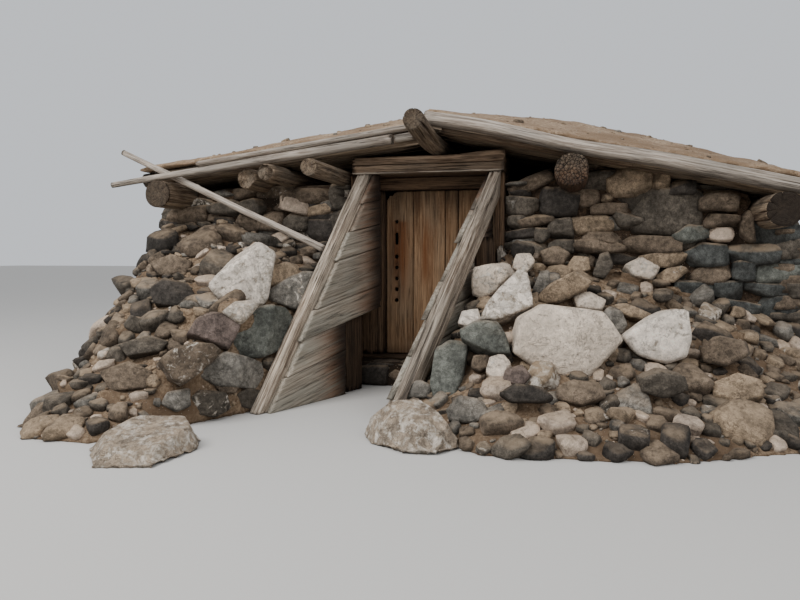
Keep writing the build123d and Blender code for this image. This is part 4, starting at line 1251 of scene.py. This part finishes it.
def cheek_string(node, seed, tone, strength, cracks):
    """Sloping timber, built of level slices of its CAD outline, with dark lines along its grain."""
    points = parts_of(node)[0]
    outline = hull(np.column_stack([points @ FORWARD, points[:, 2]]))
    aside, half = spread(points @ ACROSS)
    level = np.linspace(outline[:, 1].min() + END_CLEAR, outline[:, 1].max() - END_CLEAR, 80)
    spans = np.array([slice_across(outline, z) for z in level])
    centres = spans.mean(axis=1)[:, None] * FORWARD + aside * ACROSS + level[:, None] * UP
    wides = ((spans[:, 1] - spans[:, 0]) / 2)[:, None] * FORWARD
    heap = Heap()
    timber(heap, centres, wides, ACROSS * half, seed, power=7.0, around=84, tone=tone, swell=0.004,
           rough=0.0035, long=0.4, cracks=cracks, dark=lambda grains:
           strength * window(noise(grains, (0.7, 0.014, 0.014), seed * 10 + 1, 2), 0.3, 0.6))
    heap.stand_in(node, "_timber", PALE_WOOD, "pale_wood")


cheek_string("cheek_string_left", 61, 1.1, 0.45, (
    (0.96, 0.008, 0.02, 0.1, 2.0), (0.03, 0.007, 0.02, 0.6, 2.4), (0.08, 0.006, 0.014, -1.0, 1.1),
    (0.2, 0.007, 0.014, 0.3, 1.7), (0.3, 0.006, 0.012, 0.9, 2.4), (0.9, 0.006, 0.012, 1.0, 2.2)))
cheek_string("cheek_string_right", 62, 0.35, 0.8, (
    (0.95, 0.009, 0.024, -1.0, 1.6), (0.02, 0.008, 0.022, 0.7, 2.6), (0.06, 0.007, 0.02, -1.0, 1.2),
    (0.89, 0.03, 0.035, 1.6, 1.9), (0.55, 0.006, 0.014, 0.5, 1.8), (0.68, 0.006, 0.014, 0.2, 1.9),
    (0.78, 0.006, 0.012, 0.9, 2.4)))


def inside(points, outline):
    """Which flat points lie in a closed outline."""
    result = np.zeros(len(points), bool)
    for (ax, ay), (bx, by) in zip(outline, np.roll(outline, -1, axis=0)):
        crosses = (ay > points[:, 1]) != (by > points[:, 1])
        with np.errstate(divide="ignore", invalid="ignore"):
            result ^= crosses & (points[:, 0] < (bx - ax) * (points[:, 1] - ay) / (by - ay) + ax)
    return result


def worn_edge(outline, step, wear, ragged, seed):
    """Closer points along an outline, worn a little along the grain and ragged across it."""
    rows = []
    for a, b in zip(outline, np.roll(outline, -1, axis=0)):
        gap = b - a
        count = max(1, int(np.linalg.norm(gap) / step))
        spots = a + gap * (np.arange(count) / count)[:, None]
        endward = abs(gap[1]) / (np.linalg.norm(gap) + 1e-9)
        inward = np.array([-gap[1], gap[0]]) / (np.linalg.norm(gap) + 1e-9)
        size = np.column_stack([spots[:, 0], spots[:, 1], np.full(len(spots), seed * 0.7)])
        fray = np.abs(noise(size, (0.3, 0.025, 1.0), seed, 3)) * ragged * endward
        wear_in = (noise(size, (0.25, 0.25, 1.0), seed + 1, 3) + 1) * wear
        shift = np.column_stack([np.sign(inward[0]) * fray, np.zeros(len(spots))])
        rows.append(spots + inward * wear_in[:, None] + shift)
    return np.concatenate(rows)


def within(points, loops):
    """Which flat points lie in the first loop and in none of the others."""
    return inside(points, loops[0]) & ~np.any([inside(points, hole) for hole in loops[1:]], axis=0)


BEVEL = 0.003
RIM_CLEAR = 0.006
EDGE_STEP = 0.014
GRAIN_DEPTH = np.array([0.0, 0.0, 0.07])


def triangles_in(loops, inner):
    """Flat points and triangles that fill the first loop, less the holes of the others."""
    edges, start = [], 0
    for loop in loops:
        edges += [(start + i, start + (i + 1) % len(loop)) for i in range(len(loop))]
        start += len(loop)
    made = delaunay_2d_cdt([Vector(p) for p in np.vstack([*loops, inner])], edges, [], 0, 1e-6)
    flat = np.array([p[:] for p in made[0]])
    triangles = np.array([f for f in made[2] if len(f) == 3])
    return flat, triangles[within(flat[triangles].mean(axis=1), loops)]


def plate(heap, outline, origin, axes, thick, seed, stain, dark, tone, holes=(), wear=0.0015, ragged=0.01,
          relief=0.0012, spacing=(0.035, 0.011)):
    """Adds a board with any flat outline. The axes are its grain, across and face directions."""
    edge = worn_edge(np.asarray(outline, float), EDGE_STEP, wear, ragged, seed)
    loops = [edge, *holes]
    low, high = extent(edge)
    gx, gy = np.meshgrid(np.arange(low[0], high[0], spacing[0]), np.arange(low[1], high[1], spacing[1]))
    gx = gx + (np.arange(gx.shape[0]) % 2)[:, None] * spacing[0] / 2
    grid = np.column_stack([gx.ravel(), gy.ravel()])
    grid = grid[within(grid, loops)]
    near = np.min(np.linalg.norm(grid[:, None] - np.concatenate(loops)[None], axis=2), axis=1)
    flat, triangles = triangles_in(loops, grid[near > RIM_CLEAR])
    turned = np.concatenate([triangles[:, [0, 1]], triangles[:, [1, 2]], triangles[:, [2, 0]]])
    _, first, count = np.unique(np.sort(turned, axis=1), axis=0, return_index=True, return_counts=True)
    rim = turned[first[count == 1]]
    on_rim = np.isin(np.arange(len(flat)), rim)
    place = np.column_stack([flat, np.full(len(flat), seed * 0.31)])
    front = relief * (noise(place, (0.3, 0.016, 1.0), seed, 3) - 1)
    front = front + 1.5 * relief * noise(place, (0.8, 0.12, 1.0), seed + 2, 2)
    back = relief * (noise(place + 5.0, (0.3, 0.016, 1.0), seed + 1, 3) + 1)
    front = thick / 2 + np.where(on_rim, -BEVEL, front)
    back = -thick / 2 + np.where(on_rim, BEVEL, back)
    points = np.vstack([np.column_stack([flat, front]), np.column_stack([flat, back])])
    a, b, beyond = rim[:, 0], rim[:, 1], len(flat)
    faces = [triangles, triangles[:, ::-1] + beyond, np.column_stack([b, a, a + beyond, b + beyond])]
    if np.dot(np.cross(axes[0], axes[1]), axes[2]) < 0:
        faces = [face[:, ::-1] for face in faces]
    heap.add(points @ np.array(axes) + origin, faces, grain=points + grain_start(seed) + GRAIN_DEPTH, end=0.0,
             tone=tone, stain=stain(points), dark=dark(points))


def streaks(points, long, wide, seed):
    """Noise in streaks along a board's grain."""
    return noise(np.column_stack([points[:, :2], points[:, 0] * 0]), (long, wide, 1.0), seed, 3)


def cheek_planks(node, side, seed):
    """Planks of one side of the passage: grey in front, orange-brown, and then dark with painted shade by the
    door.
    """
    heap = Heap()
    grain, climb = unit(FORWARD - UP * PLANK_FALL), unit(UP + FORWARD * PLANK_FALL)
    for number, points in enumerate(sorted(parts_of(node), key=lambda p: -p[:, 2].mean())):
        aside, half = spread(points @ ACROSS)
        outline = hull(np.column_stack([points @ grain, points @ climb]))
        outline[:, 0] += (side > 0) * WORN_BACK * (outline[:, 0] > outline[:, 0].max() - WORN_FROM)
        back, front = outline[:, 0].min(), outline[:, 0].max()

        # Painted shade deep in the passage towards the door; the right planks also get darker front ends.
        def dark(p, back=back, front=front):
            ends = 0.55 * (side > 0) * window(p[:, 0], front - 0.12, front - 0.05)
            inner = back - p[:, 0] + 0.05 * streaks(p, 0.5, 0.05, seed + 40)
            return np.maximum(ends, 0.9 * window(inner, -0.3, -0.05))

        def stain(p, back=back):
            return 0.75 * window(back - p[:, 0] + 0.12 * streaks(p, 0.4, 0.06, seed + 50), -0.55, -0.15)

        plate(heap, outline, aside * ACROSS, (grain, climb, ACROSS * side), 2 * half * PLANK_SHARE,
              seed + number, stain, dark, 0.4 + 0.15 * (number % 3),
              ragged=0.03, wear=0.002, relief=0.0016, spacing=(0.035, 0.012) if side < 0 else (0.06, 0.02))
    heap.stand_in(node, "_boards", PLANK_WOOD, "plank_wood")


cheek_planks("cheek_planks_left", -1, 700)
cheek_planks("cheek_planks_right", 1, 720)


def cheek_post(node, seed):
    """Upright post behind the planks, darkened all over with painted shade."""
    points = parts_of(node)[0]
    forward, deep = spread(points @ FORWARD)
    aside, wide = spread(points @ ACROSS)
    heights = (END_CLEAR, points[:, 2].max() - END_CLEAR)
    foot, top = [forward * FORWARD + aside * ACROSS + UP * z for z in heights]
    heap = Heap()
    # dark paints the shade that falls on the post behind the planks.
    timber(heap, rail(foot, top, 0.06), FORWARD * deep, ACROSS * wide, seed, power=8.0, around=40,
           rough=0.002, dark=0.45)
    heap.stand_in(node, "_timber", FRAME_WOOD, "frame_wood")


cheek_post("cheek_post_left", 64)
cheek_post("cheek_post_right", 65)


# Door
HOLE_X = -0.35
HOLE_RADIUS = 0.019
HOLE_ROW_TOP = 1.164
HOLE_PITCH = 0.102
HOLE_COUNT = 5
HOLE_TOP = 1.49
SLOT_MIDDLE = 1.332
SLOT_HALF = 0.037


def ragged_hole(z, seed, stretch):
    """Outline of a worn hole: height along the grain first, then place across."""
    turn = np.linspace(0, 2 * math.pi, 18, endpoint=False)
    wobble = 1 + 0.16 * noise(np.column_stack([np.cos(turn), np.sin(turn), turn * 0 + seed]), 0.7, seed, 2)
    rise = np.sin(turn) * HOLE_RADIUS * wobble
    aside = np.cos(turn) * HOLE_RADIUS * wobble * 0.92
    return np.column_stack([z + rise + np.sign(rise) * stretch, HOLE_X + aside])


def rust(p):
    """Rust under the old holes and beside them."""
    down = np.clip(HOLE_TOP + 0.03 - p[:, 0], 0, None)
    beside = np.abs(p[:, 1] - HOLE_X - 0.035)
    around = window(down, 0.0, 0.05) * window(-beside, -0.14, -0.01) * window(-down, -0.95, -0.3)
    return 0.9 * around * (1.0 + 0.5 * streaks(p, 0.4, 0.03, 77))


def plain_rust(p):
    """One long stain down the second board and faint ones elsewhere."""
    streak = streaks(p, 0.5, 0.05, 78)
    beside = np.abs(p[:, 1] + 0.065 + 0.04 * streak)
    stain = window(-beside, -0.08, -0.01) * window(-np.abs(p[:, 0] - 1.2), -0.42, -0.1)
    return np.maximum(0.2 * window(streak, 0.1, 0.6), stain)


def damp(p):
    """Darker under the head, round the old lock and at the foot."""
    streak = streaks(p, 0.3, 0.03, 79)
    tall = window(-np.abs(p[:, 0] - 1.2 + 0.2 * streak), -0.5, -0.2)
    lock = window(-np.abs(p[:, 1] - HOLE_X), -0.1, -0.01) * tall
    drips = window(p[:, 0] + 0.25 * streak, 1.5, 1.8)
    return np.maximum(0.5 * drips + 0.35 * window(-p[:, 0], -0.36, -0.27), 0.25 * lock)


DOOR_AXES = (UP, X_AXIS, -Y_AXIS)
BOARD_TONES = (0.5, 0.75, 0.45, 0.6)
ROTTEN_CORNER = ((0.08, 0), (0.068, 0.018), (0.034, 0.03), (0.04, 0.055), (0.012, 0.08), (0, 0.12))


def door_boards(node, seed):
    """Four upright boards; the first has the old holes with rust under them and a rotten corner."""
    heap = Heap()
    heights = [HOLE_TOP, SLOT_MIDDLE] + [HOLE_ROW_TOP - HOLE_PITCH * i for i in range(HOLE_COUNT)]
    holes = [ragged_hole(z, i, SLOT_HALF * (z == SLOT_MIDDLE)) for i, z in enumerate(heights, 1)]
    for number, points in enumerate(sorted(parts_of(node), key=lambda q: q[:, 0].mean())):
        low, high = extent(points)
        left, right = low[0] + END_CLEAR, high[0] - END_CLEAR
        top = [(high[2] - z, left + x) for z, x in (((0, 0),) if number else ROTTEN_CORNER)]
        outline = np.array([(low[2], left), *top, (high[2], right), (low[2], right)])[::-1]
        plate(heap, outline, (0, (low[1] + high[1]) / 2, 0), DOOR_AXES, high[1] - low[1], seed + number,
              plain_rust if number else rust, damp, BOARD_TONES[number], () if number else holes,
              ragged=0.012, wear=0.0012)
    heap.stand_in(node, "_wood", DOOR_WOOD, "door_wood", "door")


def door_ledges(node, seed):
    """Ledges on the inside of the door, with painted shade where they show through the holes."""
    heap = Heap()
    for number, points in enumerate(parts_of(node), seed):
        low, high = extent(points)
        # Painted shade on the ledges behind the holes.
        squared(heap, low, high, 0, number, step=0.04, around=28,
                dark=lambda grains: window(-np.abs(grains[:, 0] + low[0] - HOLE_X), -0.07, -0.04))
    heap.stand_in(node, "_wood", DOOR_WOOD, "door_wood", "door")


door_boards("door_boards", 800)
door_ledges("door_ledges", 820)
for name in ("door_hinges", "hinge_pins"):
    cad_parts[name].data.materials.clear()
    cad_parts[name].data.materials.append(IRON)


# Earth and rubble
WELD = 0.0005


def fine_skin(nodes, voxel):
    """Evenly spaced points, their normals and faces over CAD nodes joined into one skin."""
    whole = bmesh.new()
    for node in nodes:
        whole.from_mesh(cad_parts[node].data)
    bmesh.ops.remove_doubles(whole, verts=whole.verts, dist=WELD)
    mesh = bpy.data.meshes.new("skin")
    whole.to_mesh(mesh)
    whole.free()
    holder = bpy.data.objects.new("skin", mesh)
    bpy.context.scene.collection.objects.link(holder)
    remesh = holder.modifiers.new("remesh", "REMESH")
    remesh.mode = "VOXEL"
    remesh.voxel_size = voxel
    made = holder.evaluated_get(bpy.context.evaluated_depsgraph_get()).to_mesh()
    points = np.array([v.co[:] for v in made.vertices])
    normals = np.array([v.normal[:] for v in made.vertices])
    faces = np.array([list(p.vertices) for p in made.polygons if len(p.vertices) == 4])
    bpy.data.objects.remove(holder)
    bpy.data.meshes.remove(mesh)
    return points, normals, faces


EARTH_LOWEST = 0.012


def soil_body(name, nodes, voxel, sink, lumps, seed, material):
    """Earth that fills CAD nodes, drawn in where it is open and lumpy all over."""
    points, normals, faces = fine_skin(nodes, voxel)
    out = window(normals[:, 2], -0.2, 0.5)
    push = lumps * noise(points, 0.7, seed, 3) + 0.5 * lumps * noise(points, 0.14, seed + 1, 3)
    low = window(points[:, 2], 0.0, 0.35)
    points = points + normals * ((push - sink) * out * low)[:, None]
    points[:, 2] = np.maximum(points[:, 2], EARTH_LOWEST * window(normals[:, 2], 0.0, 0.3))
    heap = Heap()
    heap.add(points, [faces])
    heap.build(name, [material], "earth", replaces=nodes)
    return BVHTree.FromPolygons(points.tolist(), faces.tolist())


EYE_LEAN = 0.65
BOULDER_DEPTH = 0.9
BOULDER_EDGE = 40.0
STANDS_OUT = 0.075
WIDER = 1.03
UNDER = 0.7
FINE_CUTS = ((0.24, 20), (0.17, 14), (0.0, 8))


def tilted(x, y, z, reach):
    """Plane of a stone from a direction of any length and a reach along it."""
    length = math.hypot(x, y, z)
    return x / length, y / length, z / length, reach / length


def boulder(heap, outline, tree, seed, tint, crust, fence):
    """Adds a stone that lies in a bank, from its outline in the photograph's pixels."""
    rng = np.random.default_rng(seed)
    u, v = np.mean(outline, axis=0)
    hit, normal = tree.ray_cast(EYE, ray(u, v).normalized())[:2]
    if hit is None:
        hit, normal = on_plane(u, v, FACE_POINT, FACE_NORMAL), FACE_NORMAL
    facing = (normal * (1 - EYE_LEAN) + (EYE - hit).normalized() * EYE_LEAN).normalized()
    side = Vector((0, 0, 1)).cross(facing).normalized()
    rise = facing.cross(side)
    flat = [on_plane(u, v, hit, facing) - hit for u, v in outline]
    flat = hull([(p.dot(side), p.dot(rise)) for p in flat])
    middle = flat.mean(axis=0)
    size = np.abs(flat - middle).max(axis=0)
    small, large = min(size), max(size)
    thick = BOULDER_DEPTH * small
    buried = thick - min(0.4 * small, STANDS_OUT)
    planes = [(0, 0, 1, thick), (0, 0, -1, UNDER * thick)]
    for a, b in zip(flat, np.roll(flat, -1, axis=0)):
        square = unit((b[1] - a[1], a[0] - b[0]))
        tilt = rng.uniform(-0.12, 0.12)
        planes.append(tilted(*square, tilt, np.dot(a - middle, square) * WIDER + tilt * buried))
    for _ in range(3):
        turn, fall = rng.uniform(0, 2 * math.pi), rng.uniform(0.08, 0.3)
        planes.append(tilted(math.cos(turn) * fall, math.sin(turn) * fall, 1.0,
                             thick + fall * rng.uniform(0.1, 0.5) * small))
    centre = hit - facing * buried + side * middle[0] + rise * middle[1]
    cuts = next(cuts for least, cuts in FINE_CUTS if large > least)
    rock(heap, centre, [side, rise, facing], (*size, thick), planes, seed, cuts, BOULDER_EDGE, 0.03, fence,
         tint=np.array(tint), crust=crust, dust=0.3)
    return np.array([*centre, 0.7 * large + 0.3 * small])


STONE_SPANS = ((0.8, 1.25), (0.65, 1.0), (0.4, 0.75))
TRIES = 12
SMALL_SKEW = 1.6
CAST_FROM = 9


def scatter(heap, tree, low, high, count, sizes, seed, cuts, clear=(), spare=0.7, sunk=0.4, mix=RUBBLE_MIX,
            steep=0.15, touching=True, fence=None, aim=DOWN):
    """Throws stones at a bank along a direction, clear of the stones that are already there."""
    rng = np.random.default_rng(seed)
    laid = list(clear)
    number, tries = 0, 0
    while number < count and tries < count * TRIES:
        tries += 1
        hit, normal = tree.ray_cast(Vector(rng.uniform(low, high)) - aim * CAST_FROM, aim)[:2]
        if hit is None or -normal.dot(aim) < steep:
            continue
        size = sizes[0] * (sizes[1] / sizes[0]) ** (rng.random() ** SMALL_SKEW)
        spots = np.array(laid).reshape(-1, 4)
        if (np.linalg.norm(spots[:, :3] - hit, axis=1) < spots[:, 3] * spare + size * 0.8).any():
            continue
        number += 1
        half = size * np.array([rng.uniform(*span) for span in STONE_SPANS])
        turn = rng.uniform(0, 2 * math.pi)
        along = Vector((math.cos(turn), math.sin(turn), rng.normal(0, 0.25)))
        rise = normal.lerp(-DOWN, rng.uniform(0, 0.6)).normalized()
        across = rise.cross(along).normalized()
        centre = hit + rise * float(half[2] * (1 - 2 * sunk))
        centre.z = max(centre.z, float(half[2]) * 0.4)
        block(heap, centre, [across.cross(rise), across, rise], half, seed * 1000 + number, cuts, 0.0,
              rng.uniform(18, 40), corners=8, lean=0.25, fence=fence, **stone_looks(rng, mix))
        if touching:
            laid.append(np.array([*hit, size]))
    return laid


# Stones of the banks: outline in the photograph's pixels as u, v, u, v and so on, colour and crust
LEFT_BANK_STONES = (
    ((261, 244, 275, 253, 271, 267, 267, 300, 260, 306, 240, 303, 219, 299, 209, 285, 219, 273, 237, 262),
      WHITE, 0.55),
    ((233, 345, 236, 325, 250, 311, 268, 305, 285, 308, 297, 320, 290, 338, 278, 350, 262, 357, 240, 357),
      SLATE, 0.0),
    ((188, 333, 197, 318, 212, 312, 240, 318, 238, 332, 228, 350, 215, 345, 200, 338), RED, 0.1),
    ((222, 312, 232, 304, 252, 303, 258, 307, 248, 318, 241, 325, 232, 318), PALE, 0.6),
    ((268, 291, 285, 280, 305, 272, 317, 273, 310, 295, 300, 312, 285, 305, 270, 300), GREY, 0.5),
    ((268, 268, 283, 263, 298, 266, 298, 280, 286, 284, 270, 287), TAN, 0.4),
    ((170, 352, 195, 343, 212, 344, 222, 350, 215, 360, 196, 372, 183, 385, 172, 380, 160, 360), BROWN,
      0.5),
    ((195, 375, 215, 362, 225, 352, 235, 358, 262, 362, 266, 375, 258, 388, 215, 386), GREY, 0.1),
    ((187, 400, 200, 390, 226, 393, 232, 408, 215, 417, 192, 413), BASALT, 0.5),
    ((150, 290, 165, 280, 188, 284, 196, 298, 180, 308, 155, 304), DARK, 0.2),
    ((118, 344, 150, 336, 168, 342, 160, 352, 128, 356), BASALT, 0.3),
    ((150, 262, 172, 255, 192, 262, 186, 274, 160, 276), BROWN, 0.4),
    ((190, 388, 168, 392, 160, 404, 176, 412, 190, 406), GREY, 0.2),
    ((100, 372, 130, 362, 152, 372, 148, 388, 112, 392), BROWN, 0.35),
    ((236, 394, 246, 388, 262, 391, 264, 402, 252, 409, 238, 406), BASALT, 0.2),
    ((214, 384, 226, 380, 240, 384, 236, 393, 220, 394), BROWN, 0.3),
)

RIGHT_BANK_STONES = (
    ((478, 259, 480, 250, 490, 246, 497, 246, 514, 262, 508, 268, 493, 266), WHITE, 0.6),
    ((472, 282, 474, 268, 490, 264, 505, 267, 510, 275, 497, 292, 484, 298, 473, 294), PALE, 0.55),
    ((481, 322, 490, 303, 505, 284, 523, 264, 528, 275, 529, 290, 532, 308, 515, 316, 498, 322), WHITE,
      0.6),
    ((512, 268, 516, 256, 530, 254, 535, 262, 524, 276), PALE, 0.5),
    ((532, 292, 540, 272, 549, 270, 550, 285, 541, 296), GREY, 0.3),
    ((531, 308, 532, 294, 538, 292, 538, 308), TAN, 0.3),
    ((537, 297, 552, 283, 575, 271, 592, 282, 585, 290, 560, 303, 543, 303), TAN, 0.4),
    ((573, 297, 590, 292, 606, 300, 601, 311, 578, 308), PALE, 0.5),
    ((514, 352, 521, 318, 544, 305, 602, 312, 622, 341, 598, 360, 588, 378, 543, 372), PALE, 0.45),
    ((603, 312, 610, 307, 622, 312, 627, 325, 620, 336, 610, 325), GREY, 0.1),
    ((611, 306, 625, 303, 653, 315, 650, 321, 630, 318, 615, 310), TAN, 0.3),
    ((623, 336, 640, 324, 653, 320, 671, 310, 686, 311, 690, 340, 686, 356, 665, 363, 640, 355, 628, 345),
      WHITE, 0.5),
    ((624, 266, 640, 258, 660, 268, 652, 280, 633, 277), PALE, 0.55),
    ((655, 276, 668, 268, 684, 266, 688, 271, 675, 282, 660, 284), TAN, 0.45),
    ((592, 276, 600, 254, 608, 252, 613, 266, 604, 279), BASALT, 0.2),
    ((458, 324, 462, 311, 478, 310, 481, 320, 472, 328), WHITE, 0.5),
    ((460, 330, 475, 322, 497, 322, 505, 335, 510, 355, 490, 354, 475, 345, 462, 340), SLATE, 0.35),
    ((486, 372, 490, 358, 503, 355, 511, 364, 505, 378, 492, 380), PALE, 0.5),
    ((471, 368, 474, 356, 488, 355, 490, 366, 480, 372), BROWN, 0.2),
    ((431, 385, 437, 350, 450, 342, 468, 345, 462, 380, 450, 406, 436, 405), SLATE, 0.1),
    ((400, 398, 404, 384, 420, 380, 432, 386, 428, 398), GREY, 0.3),
    ((500, 393, 515, 384, 540, 387, 553, 396, 545, 402, 512, 402), DARK, 0.4),
    ((502, 382, 506, 369, 522, 366, 531, 376, 522, 386), RED, 0.1),
    ((556, 388, 572, 380, 600, 384, 606, 398, 580, 406, 558, 400), BROWN, 0.35),
    ((640, 378, 660, 370, 684, 376, 688, 390, 664, 398, 642, 392), BASALT, 0.3),
    ((700, 348, 716, 336, 744, 342, 748, 356, 726, 366, 704, 362), BROWN, 0.4),
    ((712, 384, 736, 374, 762, 380, 764, 396, 738, 404, 714, 398), TAN, 0.3),
    ((446, 410, 460, 396, 482, 400, 490, 414, 474, 424, 450, 422), GREY, 0.3),
    ((540, 252, 556, 246, 570, 254, 562, 266, 545, 264), BROWN, 0.3),
    ((566, 268, 574, 256, 588, 258, 590, 270, 578, 274), TAN, 0.3),
)


def cheek_fence(side, node):
    """Outer face of a passage cheek, as a direction and the least distance along it."""
    aside = np.array([v.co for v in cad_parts[node].data.vertices]) @ ACROSS
    return (ACROSS, aside.max() + BEYOND_CHEEK) if side < 0 else (-ACROSS, BEYOND_CHEEK - aside.min())


BEYOND_CHEEK = 0.003
PEBBLES = 120
GRAVEL = 450


def bank(side, node, string, rows, seed, fill):
    """Rubble bank: earth, the stones that the photograph shows, and more between them."""
    tree = tree_of(node)
    box = corners(node)
    fence = cheek_fence(side, string)
    flank = {"aim": Vector((-side, 0.0, 0.0)), "steep": 0.6}
    ground = soil_body(node + "_earth", (node,), 0.05, 0.08, 0.04, seed, BANK_EARTH)
    heap = Heap()
    laid = [boulder(heap, np.reshape(outline, (-1, 2)), tree, number, tint, crust, fence)
            for number, (outline, tint, crust) in enumerate(rows, seed)]
    laid = scatter(heap, ground, *box, fill, (0.05, 0.18), seed + 90, 5, laid, spare=0.8, fence=fence)
    laid = scatter(heap, ground, *box, fill // 5, (0.05, 0.12), seed + 93, 4, laid, **flank)
    heap.build(node + "_stones", [RUBBLE_STONE], "rubble_stone")
    small = Heap()
    laid = scatter(small, ground, *box, PEBBLES, (0.025, 0.055), seed + 92, 4, laid, spare=0.75, fence=fence)
    laid = scatter(small, ground, *box, fill // 3, (0.02, 0.05), seed + 94, 4, laid, **flank)
    scatter(small, ground, *box, GRAVEL, (0.007, 0.024), seed + 91, 2, laid, spare=0.6, touching=False,
            mix=GRAVEL_MIX, fence=fence)
    small.build(node + "_gravel", [RUBBLE_STONE], "rubble_stone")


bank(-1, "rubble_bank_left", "cheek_string_left", LEFT_BANK_STONES, 2000, 150)
bank(1, "rubble_bank_right", "cheek_string_right", RIGHT_BANK_STONES, 2200, 170)


SPLIT_WIDTH = 0.035
SPLIT_DEPTH = 0.6


def weathered_solid(node, voxel, seed, lumps, splits):
    """Pale stone that keeps its CAD solid's form, weathered and cracked."""
    points, normals, faces = fine_skin((node,), voxel)
    push = lumps * noise(points, 0.25, seed, 3) + 0.4 * lumps * noise(points, 0.06, seed + 1, 3)
    lines = np.abs(noise(points, splits, seed + 2, 2))
    push = push - SPLIT_DEPTH * lumps * np.exp(-(lines / SPLIT_WIDTH) ** 2)
    points = points + normals * (push - lumps)[:, None]
    points[:, 2] = np.maximum(points[:, 2], 0.0)
    heap = Heap()
    heap.add(points, [faces], tint=TOE, crust=0.56, dust=0.3)
    heap.stand_in(node, "_stone", RUBBLE_STONE, "rubble_stone")


weathered_solid("toe_boulder_right", 0.012, 2500, 0.016, (0.3, 0.12, 0.3))
weathered_solid("toe_slab_left", 0.016, 2501, 0.014, (0.5, 0.2, 0.3))


def roof_earth(nodes, seed):
    """Earth over the roof poles, with clods and small stones on it."""
    ground = soil_body("roof_earth", nodes, 0.045, 0.012, 0.03, seed, ROOF_EARTH)
    box = np.min([corner(n, 0) for n in nodes], axis=0), np.max([corner(n, 1) for n in nodes], axis=0)
    heap = Heap()
    laid = scatter(heap, ground, *box, 60, (0.02, 0.06), seed + 1, 4, sunk=0.6, mix=CLOD_MIX)
    scatter(heap, ground, *box, 300, (0.008, 0.024), seed + 2, 2, laid, sunk=0.5, mix=CRUMB_MIX,
            touching=False)
    heap.build("roof_earth_stones", [RUBBLE_STONE], "earth")


roof_earth(("earth_left", "earth_right"), 2600)


# Stage and lights
FLOOR_REACH = 60.0


def put_in(name, data):
    """Object with its data, placed in the scene."""
    thing = bpy.data.objects.new(name, data)
    bpy.context.scene.collection.objects.link(thing)
    return thing


def add_stage():
    """Plain pale floor under the cellar."""
    mesh = bpy.data.meshes.new("floor")
    ends = (-FLOOR_REACH, FLOOR_REACH)
    mesh.from_pydata([(x, y, 0) for x in ends for y in ends], [], [[0, 2, 3, 1]])
    r = Recipe("floor", 0.95)
    r.set_shader("Base Color", colour(196, 193, 188))
    mesh.materials.append(r.material)
    put_in("floor", mesh)


def add_light(name, place, aim, size, power):
    """Square lamp that looks at a point."""
    data = bpy.data.lights.new(name, "AREA")
    data.size = size
    data.energy = power
    light = put_in(name, data)
    light.location = place
    light.rotation_euler = (Vector(aim) - Vector(place)).to_track_quat("-Z", "Y").to_euler()


def add_sky():
    """Soft even light from all round."""
    world = bpy.data.worlds.new("sky")
    world.use_nodes = True
    back = world.node_tree.nodes["Background"]
    back.inputs["Color"].default_value = (*colour(232, 236, 242), 1.0)
    back.inputs["Strength"].default_value = 0.9
    bpy.context.scene.world = world


add_stage()
add_sky()
add_light("key", (-4.5, -7.0, 8.5), (0, 0, 0.8), 5.0, 900)
add_light("fill", (7.0, -7.5, 6.0), (0.5, 0, 0.8), 6.0, 260)
